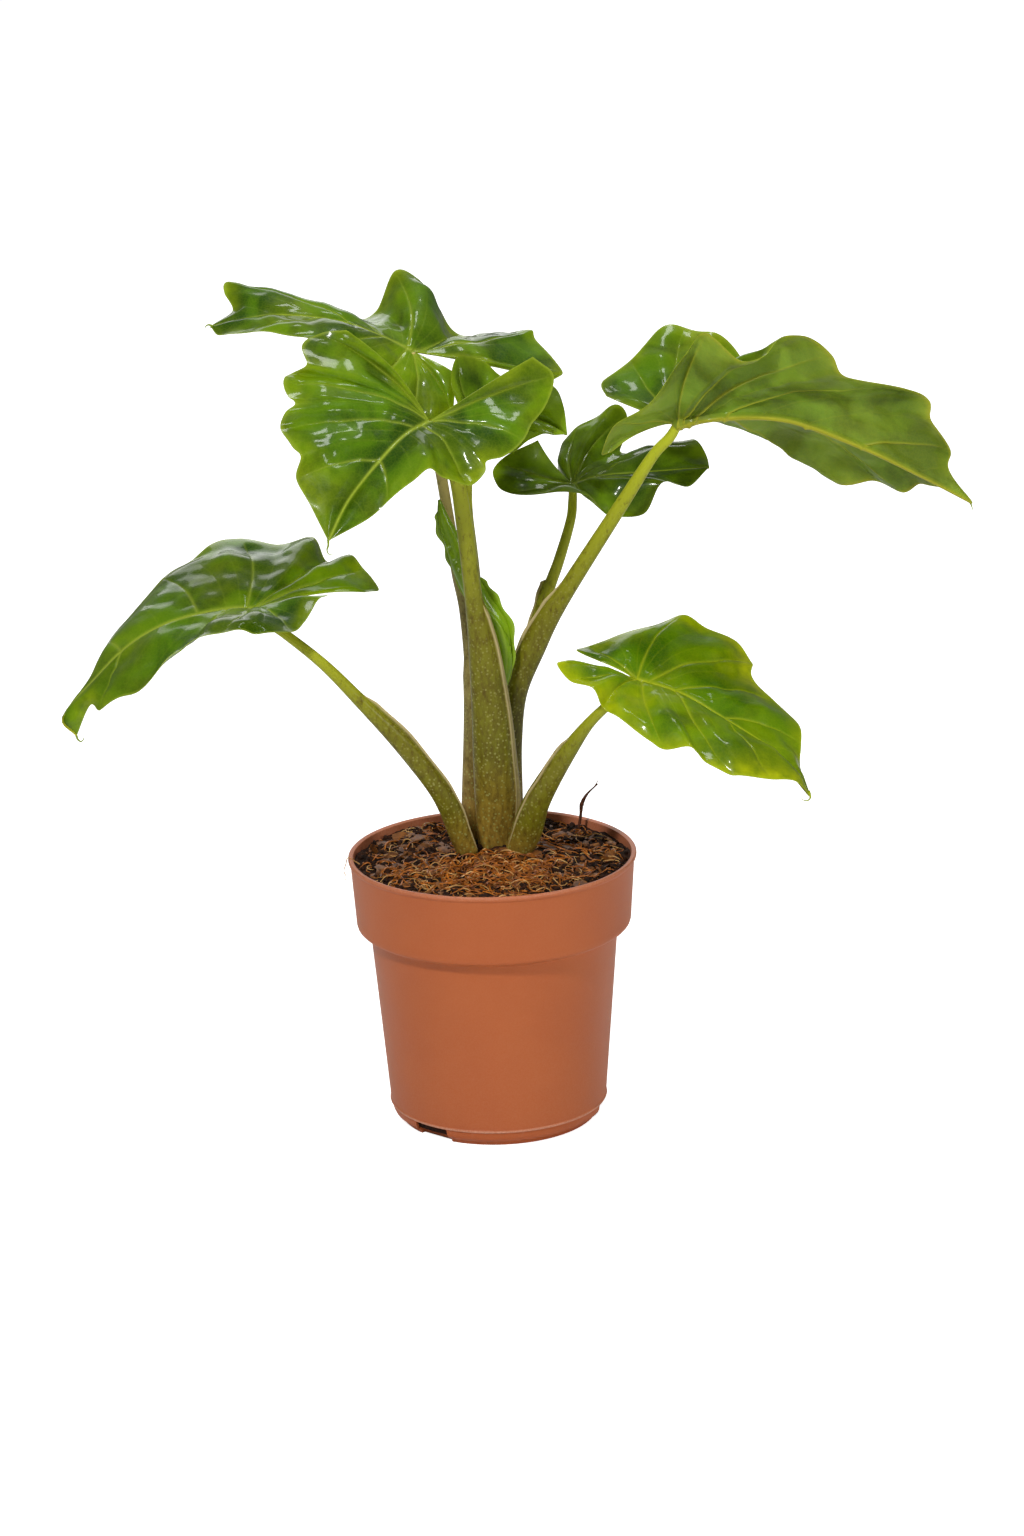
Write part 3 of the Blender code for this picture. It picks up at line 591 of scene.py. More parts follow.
def blade_relief(shape):
    """The upper and lower faces as grids of points, how pale the skin is at each point, and how much
    yellow-green it takes there, for yellowing and for a painted glow along the margin.
    """
    vein, across, grid = blade_grid(shape)
    normal = normals_of(shape, vein, grid)
    rib, strong, weak, margin = distances(shape, vein, grid)
    out, place = np.abs(across)[None, :], shape.place(vein)[:, None]
    stout = np.linalg.norm(shape.midrib[-1]) / FULL_RIB_LENGTH
    begun = np.clip(rib / 5, 0, 1)
    rib_line = line(rib, 1.2 + 0.9 * stout * (1 - place))
    strong_line = line(strong, 0.7 + 0.7 * (1 - out)) * (1 - out**4)
    weak_line = line(weak, 0.6) * (1 - out**2) * begun
    half = swelling(shape, vein)
    swell = np.where(across[None, :] < 0, half["left"], half["right"]) * np.sin(math.pi * out**1.4) * begun
    calm = np.clip(rib / 12, 0, 1) * np.clip(margin / 11, 0.12, 1)
    crinkle = (3.4 * ripple(grid, 27) + 1.4 * ripple(grid, 12, 40)) * calm
    middle = grid + normal * (crinkle + SWELL_HEIGHT * swell)[..., None]
    upper = middle - normal * (0.4 * rib_line + 0.45 * strong_line + 0.1 * weak_line)[..., None]
    rib_width = 0.8 + 2.6 * stout * (1 - 0.8 * place)
    rib_depth = np.sqrt(np.clip(1 - (rib / rib_width) ** 2, 0, 1)) * (0.5 + 3.4 * stout * (1 - 0.85 * place))
    ridges = rib_depth + (0.9 * (1 - out) + 0.15) * strong_line + 0.15 * weak_line
    lower = middle - normal * (BLADE_THICKNESS * (1 - 0.4 * out**8) + ridges)[..., None]
    pale = [rib_line, 0.7 * strong_line * (1 - 0.4 * out), 0.14 * weak_line, 0.7 * line(margin, 0.6)]
    # Painted light: a band about 10 mm wide along the margin is tinted lighter, as if lamp light shone through
    # the thin blade. The noise on the next line adds real yellowing patches.
    margin_glow = 0.5 * line(margin, 10) * (1 + ripple(grid, 30, 3))
    ripe_and_glow = np.clip(0.18 + margin_glow + 0.7 * ripple(grid, 46, 7), 0, 1.4)
    return upper, lower, np.clip(np.maximum.reduce(pale), 0, 1), ripe_and_glow


front_upper, front_lower = blade_relief(BladeShape(LEAVES["front"]))[:2]
front_thickness = np.linalg.norm(front_upper - front_lower, axis=2)
print("the front leaf is", round(front_thickness.min(), 1), "to", round(front_thickness.max(), 1), "mm thick")

# %% Blades
DRIP_TIPS = {
    "front": [(0, 0, 1), (0, -1, -3), (-1, -1, -6), (0, -1, -9), (3, -1, -9.5)],
    "back_left": [(2, 0, 0), (-1, 0, 1), (-3, 0, 0), (-4, 0, -2)],
    "right": [(-5, 0.5, 2), (-2, 0, -0.5), (-0.5, 0, -4), (-0.3, 0, -6)],
    "low_left": [(0, 0, 1), (1, 0, -2), (3, 0, -3.5), (5, 0, -2), (4.5, 0, 0)],
    "low_right": [(-1, 0, 3), (0, 0, -1), (-1, 0, -3.5), (-4, 0, -4), (-7, 0, -2)],
}
TIP_RADIUS, TIP_TAPER, TIP_RINGS, TIP_SIDES = 0.9, 0.15, 17, 8


def rim_faces(rows, columns, under):
    """The thin edge between the two faces: along the sinus, up the right margin and down the left."""
    at = np.arange(rows * columns).reshape(rows, columns)
    loop = np.concatenate([at[0, :], at[1:, -1], at[::-1, 0]])
    a, b = loop[:-1], loop[1:]
    return np.stack([a, a + under, b + under, b], axis=1)


def make_blade(name, leaf):
    """One leaf blade: slot 0 is the upper skin and the rim, and slot 1 the underside."""
    shape = BladeShape(leaf)
    upper, lower, pale, ripe_and_glow = blade_relief(shape)
    rows, columns = pale.shape
    count = rows * columns
    under_faces = grid_faces(rows, columns, count, flip=True)
    faces = [grid_faces(rows, columns), under_faces, rim_faces(rows, columns, count)]
    slots = np.repeat([0, 1, 0], [len(f) for f in faces])
    points = [upper.reshape(-1, 3), lower.reshape(-1, 3)]
    values = {"vein": [pale.ravel()] * 2, "ripe_and_glow": [ripe_and_glow.ravel()] * 2}
    if name in DRIP_TIPS:
        curl = on_curve(DRIP_TIPS[name], np.linspace(0, len(DRIP_TIPS[name]) - 1, TIP_RINGS))
        radii = TIP_RADIUS * np.linspace(1, TIP_TAPER, TIP_RINGS)
        thread, skin = tube(shape.attach + shape.midrib[-1] + curl, radii, TIP_SIDES)
        faces.append(skin + 2 * count)
        slots = np.append(slots, np.zeros(len(skin), int))
        points.append(thread)
        values = {key: [*numbers, np.full(len(thread), 0.6)] for key, numbers in values.items()}
    skins = [UPPER_SKIN[LEAF_SKINS.get(name, "mature")], UNDER_SKIN]
    values = {key: np.concatenate(numbers) for key, numbers in values.items()}
    return make_piece("leaf_" + name, np.vstack(points), np.vstack(faces), skins, slots, values,
                      replaces=["blade_" + name], slot="leaf")


blades = [make_blade(name, leaf) for name, leaf in LEAVES.items()]
print("faces on the blades:", sum(len(blade.data.polygons) for blade in blades))

# %% [markdown]
# ## Petioles and their sheaths
#
# A petiole is a juicy round stem. Its lower half opens into a sheath that wrapped the next leaf before it
# unrolled, and the sheath's free edge stays as a thin pale flap down one side. A curve with a bevel would
# give a plain pipe, so each petiole is a loft of rings instead: the rings follow the stem, grow and shrink
# with it, and step outward at the flap. Where the edge stands free of the stem, a thin wavy fin is added.

# %% Petiole rows
# Petioles, from the corm up. Each row is x, y, z, then the width and the depth of the section there.
# A sheath edge is a ridge that stands proud at one angle round the section, up to a height in z.
PETIOLES = {
    "front": dict(
        path=[(1, 14, 158, 14, 12), (1, 12, 180, 20, 14), (2, 8, 200, 24, 16), (4, 4, 235, 31, 17),
              (3, 0, 268, 30, 18), (1, -4, 312, 26, 17), (-3, -8, 356, 20, 15), (-8, -12, 392, 13, 12),
              (-13, -20, 448, 12, 11), (-19, -29, 490, 10, 9)],
        sheath=(-10, 2.5, 385),
    ),
    "back_left": dict(
        path=[(-13, 22, 158, 10, 10), (-16, 24, 180, 12, 12), (-16, 26, 200, 12, 12), (-14, 28, 234, 12, 12),
              (-11, 32, 309, 11, 11), (-14, 37, 368, 10, 10), (-20, 38, 402, 9, 9), (-26, 38, 448, 8, 8),
              (-32, 38, 490, 8, 8), (-40, 40, 530, 7, 7)],
        sheath=(180, 1.5, 330),
    ),
    "right": dict(
        path=[(18, 24, 158, 11, 11), (19, 25, 180, 12, 12), (18, 26, 200, 12, 12), (17, 27, 240, 13, 12),
              (17, 27, 275, 14, 12), (21, 26, 312, 15, 13), (34, 24, 346, 17, 13), (54, 22, 382, 13, 11),
              (101, 22, 454, 10, 9), (122, 22, 486, 8, 8)],
        sheath=(190, 3.0, 380),
    ),
    "back_right": dict(
        path=[(14, 37, 158, 9, 9), (16, 40, 180, 10, 10), (17, 42, 200, 10, 10), (21, 44, 300, 10, 10),
              (43, 50, 374, 9, 9), (54, 56, 403, 8, 8), (63, 64, 430, 7, 7)],
        sheath=(160, 2.0, 380),
    ),
    "low_left": dict(
        path=[(-15, 0, 158, 12, 11), (-16, -5, 180, 13, 12), (-17, -10, 200, 15, 14),
              (-23, -17, 220, 16, 14), (-30, -23, 242, 16, 14), (-40, -28, 262, 15, 13),
              (-63, -33, 295, 14, 12), (-89, -36, 325, 10, 10), (-115, -34, 353, 8, 8),
              (-141, -28, 374, 7, 7)],
        sheath=(60, 3.5, 322),
    ),
    "low_right": dict(
        path=[(17, 0, 158, 12, 11), (18, -5, 180, 14, 12), (19, -10, 200, 18, 14), (26, -17, 220, 21, 15),
              (33, -24, 242, 18, 14), (43, -30, 262, 15, 13), (58, -37, 288, 12, 11), (72, -42, 308, 8, 8),
              (88, -45, 324, 7, 7)],
        sheath=(120, 3.5, 288),
    ),
    "behind": dict(
        path=[(0, 38, 158, 9, 9), (0, 40, 180, 9, 9), (0, 40, 200, 9, 9), (-1, 42, 300, 8, 8),
              (-7, 41, 400, 7, 7), (-11, 37, 450, 7, 7), (-8, 26, 488, 6, 6)],
        sheath=(90, 1.0, 300),
    ),
}
print("petioles to make:", len(PETIOLES))

# %% Petiole material
# Living stem skin is smooth and faintly waxed, so it gleams softly and doesn't mirror the lamps. Lengths here
# are in mm: the size of the brown flecks, the spacing of the pale dots and the relief.
FLECK_SIZE, DOT_SPACING, FLECK_RELIEF = 3.6, 2.8, 0.4
FLECK_BROWN, DOT_CREAM, FLAP_STRAW = "4e3a08", "a8a55a", "b9a877"


def petiole_skin(name, base, middle, top):
    """Smooth stem skin in three tints from the soil to the blade, with brown flecks and pale dots."""
    made, tree, shader = start_material(name)
    place = add(tree, "TexCoord").outputs["Object"]
    rise = add(tree, "Attribute", attribute_name="rise").outputs["Fac"]
    low = add(tree, "MapRange", {"Value": rise, "From Min": 0.02, "From Max": 0.24})
    high = add(tree, "MapRange", {"Value": rise, "From Min": 0.55, "From Max": 1.05})
    squash = add(tree, "Mapping", {"Vector": place, "Scale": (1, 1, 0.4)})
    fleck_noise = add(tree, "TexNoise", {"Vector": squash.outputs[0], "Scale": 1000 / FLECK_SIZE, "Detail": 6,
                                         "Roughness": 0.75})
    flecks = fleck_noise.outputs["Fac"]
    fewer = add(tree, "MapRange", {"Value": rise, "From Min": 0.2, "To Min": 0.38, "To Max": 0.6})
    brown = add(tree, "MapRange", {"Value": flecks, "From Min": fewer.outputs[0], "From Max": 0.72,
                                   "To Max": 0.9})
    dots = add(tree, "TexVoronoi", {"Vector": place, "Scale": 1000 / DOT_SPACING, "Randomness": 1})
    dot = add(tree, "MapRange", {"Value": dots.outputs["Distance"], "From Min": 0.15, "From Max": 0.36,
                                 "To Min": 0.85, "To Max": 0})
    faded = add(tree, "MapRange", {"Value": rise, "From Min": 0.1, "From Max": 0.75,
                                   "To Min": 1, "To Max": 0.1})
    pale = add(tree, "Math", {0: dot.outputs[0], 1: faded.outputs[0]}, operation="MULTIPLY")
    flap = add(tree, "Attribute", attribute_name="flap").outputs["Fac"]
    colour = add(tree, "Mix", {0: low.outputs[0], 6: linear(base), 7: linear(middle)}, data_type="RGBA")
    layers = ((high.outputs[0], top), (brown.outputs[0], FLECK_BROWN), (pale.outputs[0], DOT_CREAM),
              (flap, FLAP_STRAW))
    for share, tint in layers:
        colour = add(tree, "Mix", {0: share, 6: colour.outputs[2], 7: linear(tint)}, data_type="RGBA")
    sheen = add(tree, "MapRange", {"Value": flecks, "To Min": 0.32, "To Max": 0.55})
    bump = add(tree, "Bump", {"Height": flecks, "Strength": 0.3, "Distance": FLECK_RELIEF * MM})
    fill(tree, shader, {"Base Color": colour.outputs[2], "Roughness": sheen.outputs[0],
                        "Specular IOR Level": 0.15, "Coat Weight": 0.3, "Coat IOR": 1.3,
                        "Coat Roughness": 0.25, "Normal": bump.outputs["Normal"]})
    return made


GREEN_PETIOLE = petiole_skin("mottled_petiole", "b8923e", "767216", "b8c028")
TAN_PETIOLE = petiole_skin("mottled_tan_petiole", "b28c3e", "94864c", "dcca78")
print("petiole materials:", GREEN_PETIOLE.name, "and", TAN_PETIOLE.name)

# %% Stem rings and sheath edges
# A free edge's row is its angle round the stem, its lowest and highest place, and how far it stands out.
FREE_EDGES = {
    "front": (-24, 205, 388, 2.4),
    "right": (196, 232, 392, 5.0),
    "back_right": (184, 300, 388, 3.4),
    "low_left": (-12, 205, 328, 3.6),
    "low_right": (196, 205, 294, 3.6),
}
RINGS_PER_ROW, STEM_SIDES = 9, 56
EDGE_RINGS, EDGE_SIDES, EDGE_HALF_THICKNESS = 90, 12, 0.55
SOIL_LEVEL = 195
FLAP_LEAD, FLAP_STEP, FLAP_FADE = 0.25, 0.12, 1.9


def stem_frame(rows, t):
    """For each place t along a stem: its centre, the section's two directions and its two half sizes."""
    rows = np.asarray(rows, float)
    centre, size = on_curve(rows[:, :3], t), on_curve(rows[:, 3:], t) / 2
    ahead, behind = np.minimum(t + 0.1, len(rows) - 1), np.maximum(t - 0.1, 0)
    along = unit(on_curve(rows[:, :3], ahead) - on_curve(rows[:, :3], behind))
    over = unit(np.array([1, 0, 0]) - along * along[:, :1])
    return centre, over, np.cross(along, over), size


def stem_rings(rows, shape, rings_per_row=RINGS_PER_ROW, sides=STEM_SIDES):
    """Rings round a path whose rows are x, y, z, width and depth. Shape(angle, z) is added to each radius."""
    t = np.linspace(0, len(rows) - 1, rings_per_row * (len(rows) - 1) + 1)
    centre, over, away, size = stem_frame(rows, t)
    angle = np.arange(sides) * math.tau / sides
    proud = shape(angle[None, :], centre[:, 2:])
    cosine, sine = np.cos(angle)[None, :], np.sin(angle)[None, :]
    return (centre[:, None] + over[:, None] * (cosine * (size[:, :1] + proud))[..., None]
            + away[:, None] * (sine * (size[:, 1:] + proud))[..., None])


def sheath(angle_degrees, proud, top):
    """A flap along the stem: it steps out sharply at one angle and sinks back over a third of a turn."""
    def shape(angle, z):
        turn = (angle - math.radians(angle_degrees) + FLAP_LEAD) % math.tau
        step = np.clip(turn / FLAP_STEP, 0, 1) * np.clip(1 - (turn - FLAP_STEP) / FLAP_FADE, 0, 1)
        rising = np.clip((z - SOIL_LEVEL + 25) / 60, 0, 1) * np.clip((top + 3 - z) / 9, 0, 1) ** 0.5
        return proud * step * rising
    return shape


def free_edge(rows, angle_degrees, low, top, proud, ruffle=0.12):
    """A thin wavy fin along a stem from height low to height top. Its root reaches 1 mm into the stem."""
    t = np.linspace(0, len(rows) - 1, 400)
    height = stem_frame(rows, t)[0][:, 2]
    t = np.linspace(np.interp(low, height, t), np.interp(top, height, t), EDGE_RINGS)
    centre, over, away, size = stem_frame(rows, t)
    turn, share = math.radians(angle_degrees), np.linspace(0, 1, EDGE_RINGS)
    out = over * math.cos(turn) * size[:, :1] + away * math.sin(turn) * size[:, 1:]
    tall = proud * share**0.7 * np.clip((1 - share) / 0.06, 0.1, 1) * (1 + ruffle * np.sin(share * 26))
    thick = EDGE_HALF_THICKNESS * np.clip(share / 0.05, 0.1, 1) * np.clip((1 - share) / 0.03, 0.1, 1)
    normal, side = unit(out), np.cross(np.cross(over, away), unit(out))
    angle = np.arange(EDGE_SIDES) * math.tau / EDGE_SIDES
    reach = (tall / 2 - 0.4)[:, None] + np.cos(angle)[None, :] * (tall / 2 + 0.6)[:, None]
    across = np.sin(angle)[None, :] * thick[:, None]
    rings = (centre + out)[:, None] + normal[:, None] * reach[..., None] + side[:, None] * across[..., None]
    return rings, np.tile(np.where(np.cos(angle) > 0.3, 0.9, 0.1), (EDGE_RINGS, 1))


print("free sheath edges:", len(FREE_EDGES))

# %% Petioles
NECK_LENGTH, NECK_LEAN = 14, 0.8
SEAT_DROP = 1.5
NECK_TAPER, SEAT_TAPER = 0.95, 0.8
PALE_LINE_TURN, PALE_LINE_WIDTH = 0.14, 0.1


def petiole_rows(name):
    """The petiole's path with its last stretch, which bends over into the midrib's boss."""
    shape = BladeShape(LEAVES[name])
    down = -shape.up(np.array([0.0]))[0]
    last = PETIOLES[name]["path"][-1]
    back = unit(np.array(last[:3]) - shape.attach)
    neck = shape.attach + (down * (1 - NECK_LEAN) + back * NECK_LEAN) * NECK_LENGTH
    seat = shape.attach + down * SEAT_DROP
    tapers = (neck, NECK_TAPER), (seat, SEAT_TAPER)
    return PETIOLES[name]["path"] + [(*spot, last[3] * taper, last[4] * taper) for spot, taper in tapers]


def make_petiole(name):
    """One petiole, with its free edge if it has one. Rise and flap tell its skin where to change colour."""
    rows = petiole_rows(name)
    angle, proud, top = PETIOLES[name]["sheath"]
    rings = stem_rings(rows, sheath(angle, proud, top))
    count, sides = rings.shape[:2]
    turn = (np.arange(sides) * math.tau / sides - math.radians(angle) + FLAP_LEAD) % math.tau
    height = rings[:, :, 2].mean(axis=1)
    rise = np.clip((height - SOIL_LEVEL) / (height[-1] - SOIL_LEVEL), 0, 1)
    sheathed = ((height < top + 2) * (height > SOIL_LEVEL - 5))[:, None]
    on_flap = line(turn - PALE_LINE_TURN, PALE_LINE_WIDTH)[None, :] * sheathed
    points, faces = [rings.reshape(-1, 3)], [grid_faces(count, sides, closed=True)]
    values = {"rise": [np.repeat(rise, sides)], "flap": [0.8 * on_flap.ravel()]}
    if name in FREE_EDGES:
        edge, pale = free_edge(rows, *FREE_EDGES[name])
        faces.append(grid_faces(EDGE_RINGS, EDGE_SIDES, start=count * sides, closed=True))
        points.append(edge.reshape(-1, 3))
        values["rise"].append(np.clip((points[-1][:, 2] - SOIL_LEVEL) / (height[-1] - SOIL_LEVEL), 0, 1))
        values["flap"].append(pale.ravel())
    values = {key: np.concatenate(numbers) for key, numbers in values.items()}
    skin = TAN_PETIOLE if name == "back_left" else GREEN_PETIOLE
    return make_piece("stem_" + name, np.vstack(points), np.vstack(faces), [skin], values=values,
                      replaces=["petiole_" + name], slot="petiole")


stems = [make_petiole(name) for name in PETIOLES]
print("faces on the petioles:", sum(len(stem.data.polygons) for stem in stems))

# %% [markdown]
# ## The rolled young leaf
#
# A new taro leaf comes up rolled like a cigar, thin and soft and lighter than the rest. Its outer edge shows
# as a line that winds round the roll. It is lofted like a petiole, with a radius that grows through one turn
# and then steps back, and the step slowly turns on the way up. Two wavy fins are the margins that have begun
# to come free.

# %% Young leaf
YOUNG_PATH = [(3, 26, 158, 6, 6), (3, 25, 200, 6, 6), (5, 18, 270, 6, 6), (10, 13, 318, 7, 6),
              (12, 12, 338, 12, 10), (8, 11, 364, 19, 14), (-4, 12, 387, 17, 14), (-14, 12, 409, 15, 12),
              (-21, 13, 428, 12, 10), (-28, 13, 446, 8, 7), (-31, 13, 460, 2, 2)]
YOUNG_BASE, YOUNG_TIP, YOUNG_STEP = 318, 460, 2.2
YOUNG_TAPER, YOUNG_TWIST = 30, 0.022
YOUNG_EDGES = [(-15, 322, 400, 4.0), (175, 372, 452, 3.6)]
SIDES_PER_STRIPE = 7


def rolled(angle, z):
    """One turn of the roll, with its edge winding half round on the way to the tip."""
    furled = np.clip((z - YOUNG_BASE) / YOUNG_TAPER, 0, 1) * np.clip((YOUNG_TIP - z) / YOUNG_TAPER, 0, 1)
    turn = ((angle + (z - YOUNG_BASE) * YOUNG_TWIST) % math.tau) / math.tau
    return furled * YOUNG_STEP * (turn - 0.5 + 0.12 * np.sin(z / 9) * turn**6)


def make_young_leaf():
    """The roll with pale stripes for its veins, and its two free margins."""
    skin = leaf_skin("soft_young_leaf", "567c06", "729a0a", "9cb81a", "a0b83c", 0.38, 0.6, patch_mm=25)
    rings = stem_rings(YOUNG_PATH, rolled)
    count, sides = rings.shape[:2]
    in_stripe = (np.arange(sides) % SIDES_PER_STRIPE)[None, :] - SIDES_PER_STRIPE // 2
    stripe = 0.35 * line(in_stripe, 0.8) * (rings[:, :, 2] > YOUNG_BASE)
    points, faces, vein = [rings.reshape(-1, 3)], [grid_faces(count, sides, closed=True)], [stripe.ravel()]
    for angle, low, top, proud in YOUNG_EDGES:
        edge, pale = free_edge(YOUNG_PATH, angle, low, top, proud, ruffle=0.4)
        faces.append(grid_faces(EDGE_RINGS, EDGE_SIDES, start=sum(len(p) for p in points), closed=True))
        points.append(edge.reshape(-1, 3))
        vein.append(0.4 * pale.ravel())
    points, vein = np.vstack(points), np.concatenate(vein)
    return make_piece("rolled_young_leaf", points, np.vstack(faces), [skin], replaces=["young_leaf"],
                      slot="young_leaf", values={"vein": vein, "ripe_and_glow": np.full(len(vein), 0.5)})


young_leaf = make_young_leaf()
print("faces on the young leaf:", len(young_leaf.data.polygons))

# %% [markdown]
# ## The nursery pot
#
# The pot is injection-moulded polypropylene, coloured through like terracotta. Moulding gives it an even
# satin skin, softly rounded corners, a thin lip, a deep collar that lets pots be lifted from a stack, and a
# fine proud line where the two halves of the mould met just above the foot. It is one profile turned round
# the upright axis, with three drain notches cut through the foot and open at their lower side.

# %% Pot material
# Sizes are in mm: the clouds in the colour, the mould's fine grain, the width of a scuff and the grain's relief.
CLOUD_SIZE, GRAIN_SIZE, SCUFF_WIDTH, GRAIN_RELIEF = 60, 1.2, 7, 0.2
DUST_TINT, SCUFF_TINT = "cf8a6a", "e3b79f"


def terracotta_plastic(name="terracotta_polypropylene"):
    """Moulded polypropylene: satin and a little dusty, with cloudy colour and a few pale scuffs."""
    made, tree, shader = start_material(name)
    place = add(tree, "TexCoord").outputs["Object"]
    cloud = add(tree, "TexNoise", {"Vector": place, "Scale": 1000 / CLOUD_SIZE, "Detail": 3}).outputs["Fac"]
    grain = add(tree, "TexNoise", {"Vector": place, "Scale": 1000 / GRAIN_SIZE, "Detail": 2}).outputs["Fac"]
    speck = add(tree, "MapRange", {"Value": grain, "From Min": 0.3, "From Max": 0.7, "To Max": 0.07})
    long_marks = add(tree, "Mapping", {"Vector": place, "Scale": (1, 1, 0.25)})
    scuffs = add(tree, "TexNoise", {"Vector": long_marks.outputs[0], "Scale": 1000 / SCUFF_WIDTH, "Detail": 8,
                                    "Roughness": 0.8})
    scuff = add(tree, "MapRange", {"Value": scuffs.outputs["Fac"], "From Min": 0.71, "From Max": 0.78,
                                   "To Max": 0.6})
    worn = add(tree, "Attribute", attribute_name="wear").outputs["Fac"]
    rubbed = add(tree, "Math", {0: worn, 1: grain}, operation="MULTIPLY")
    marks = add(tree, "Math", {0: rubbed.outputs[0], 1: scuff.outputs[0]}, operation="MAXIMUM")
    colour = add(tree, "Mix", {0: cloud, 6: linear("ae5629"), 7: linear("bb6433")}, data_type="RGBA")
    for share, tint in ((speck.outputs[0], DUST_TINT), (marks.outputs[0], SCUFF_TINT)):
        colour = add(tree, "Mix", {0: share, 6: colour.outputs[2], 7: linear(tint)}, data_type="RGBA")
    satin = add(tree, "MapRange", {"Value": cloud, "To Min": 0.38, "To Max": 0.55})
    bump = add(tree, "Bump", {"Height": grain, "Strength": 0.12, "Distance": GRAIN_RELIEF * MM})
    fill(tree, shader, {"Base Color": colour.outputs[2], "Roughness": satin.outputs[0], "IOR": 1.49,
                        "Specular IOR Level": 0.3, "Normal": bump.outputs["Normal"]})
    return made


POT_PLASTIC = terracotta_plastic()
print("pot material:", POT_PLASTIC.name)

# %% Pot
POT_HEIGHT, RIM_RADIUS, COLLAR_RADIUS, COLLAR_DROP = 200.0, 105.0, 100.5, 50.0
WALL_TOP_RADIUS, WALL_FOOT_RADIUS, FOOT_RADIUS, FOOT_HEIGHT = 90.0, 79.0, 73.0, 4.0
WALL_THICKNESS, FLOOR_THICKNESS = 2.2, 3.0
POT_SIDES = 256
SEAM_HEIGHT = 12.5
NOTCH_COUNT, NOTCH_TURN, NOTCH_WIDTH, NOTCH_DEPTH = 3, 0.64, 29.0, 22.0
NOTCH_TOP, NOTCH_BOTTOM, NOTCH_CORNER = 11.2, -2.0, 1.2
POT_SHARP_ANGLE = math.radians(40)
COLLAR_FOOT = POT_HEIGHT - COLLAR_DROP
INNER = [
    (WALL_FOOT_RADIUS - 1 - WALL_THICKNESS, FLOOR_THICKNESS + 2),
    (WALL_TOP_RADIUS - WALL_THICKNESS, COLLAR_FOOT - 7),
    (COLLAR_RADIUS - 1.5 - WALL_THICKNESS, COLLAR_FOOT - 1),
    (RIM_RADIUS - 1.4 - WALL_THICKNESS, POT_HEIGHT - 1),
]
OUTER = [
    (RIM_RADIUS - 1.6, POT_HEIGHT),
    (RIM_RADIUS - 0.6, POT_HEIGHT - 0.2),
    (RIM_RADIUS - 0.1, POT_HEIGHT - 0.9),
    (RIM_RADIUS, POT_HEIGHT - 2.2),
    (RIM_RADIUS - 0.3, POT_HEIGHT - 3.4),
    (RIM_RADIUS - 1.2, POT_HEIGHT - 4.1),
    (RIM_RADIUS - 1.6, POT_HEIGHT - 5.2),
    (COLLAR_RADIUS, COLLAR_FOOT + 3),
    (COLLAR_RADIUS - 0.2, COLLAR_FOOT),
    (COLLAR_RADIUS - 0.7, COLLAR_FOOT - 1.8),
    (COLLAR_RADIUS - 1.6, COLLAR_FOOT - 2.8),
    (COLLAR_RADIUS - 2.8, COLLAR_FOOT - 3.2),
    (WALL_TOP_RADIUS + 2.6, COLLAR_FOOT - 5.4),
    (WALL_TOP_RADIUS + 0.9, COLLAR_FOOT - 6.6),
    (WALL_TOP_RADIUS + 0.3, COLLAR_FOOT - 8.4),
    (WALL_FOOT_RADIUS + 0.7, SEAM_HEIGHT + 1.4),
    (WALL_FOOT_RADIUS + 1.2, SEAM_HEIGHT + 0.7),
    (WALL_FOOT_RADIUS + 1.3, SEAM_HEIGHT),
    (WALL_FOOT_RADIUS + 0.9, SEAM_HEIGHT - 0.7),
    (WALL_FOOT_RADIUS, SEAM_HEIGHT - 1.2),
    (WALL_FOOT_RADIUS - 0.6, FOOT_HEIGHT + 3.4),
    (WALL_FOOT_RADIUS - 1.6, FOOT_HEIGHT + 1.2),
    (WALL_FOOT_RADIUS - 3.5, FOOT_HEIGHT),
    (FOOT_RADIUS + 1.5, FOOT_HEIGHT - 0.4),
    (FOOT_RADIUS + 0.4, FOOT_HEIGHT - 1.4),
    (FOOT_RADIUS, 0.6),
    (FOOT_RADIUS - 0.6, 0),
    (0.5, 0),
]


def turned(profile, sides):
    """Points round the upright axis for each (radius, height), and the faces between the rings."""
    profile = np.array(profile, float)
    angle = np.arange(sides) * math.tau / sides
    ring = np.stack([np.cos(angle), np.sin(angle)], axis=1)
    flat = profile[:, None, :1] * ring[None]
    points = np.dstack([flat, np.repeat(profile[:, None, 1:], sides, axis=1)])
    return points.reshape(-1, 3), grid_faces(len(profile), sides, closed=True, flip=True)


def notch_cutter(i):
    """A block with rounded edges at the wall's foot. It reaches below the pot, so the notch is open there."""
    bm = bmesh.new()
    bmesh.ops.create_cube(bm, size=1)
    size = (NOTCH_DEPTH * MM, NOTCH_WIDTH * MM, (NOTCH_TOP - NOTCH_BOTTOM) * MM)
    bmesh.ops.scale(bm, vec=size, verts=bm.verts)
    corner = NOTCH_CORNER * MM
    bmesh.ops.bevel(bm, geom=list(bm.edges), offset=corner, segments=3, affect="EDGES", profile=0.5)
    angle = math.tau * (NOTCH_TURN + i / NOTCH_COUNT)
    middle = Vector((WALL_FOOT_RADIUS, 0, (NOTCH_TOP + NOTCH_BOTTOM) / 2)) * MM
    bm.transform(Matrix.Rotation(angle, 4, "Z") @ Matrix.Translation(middle))
    mesh = bpy.data.meshes.new("notch_cutter")
    bm.to_mesh(mesh)
    bm.free()
    return bpy.data.objects.new("notch_cutter", mesh)


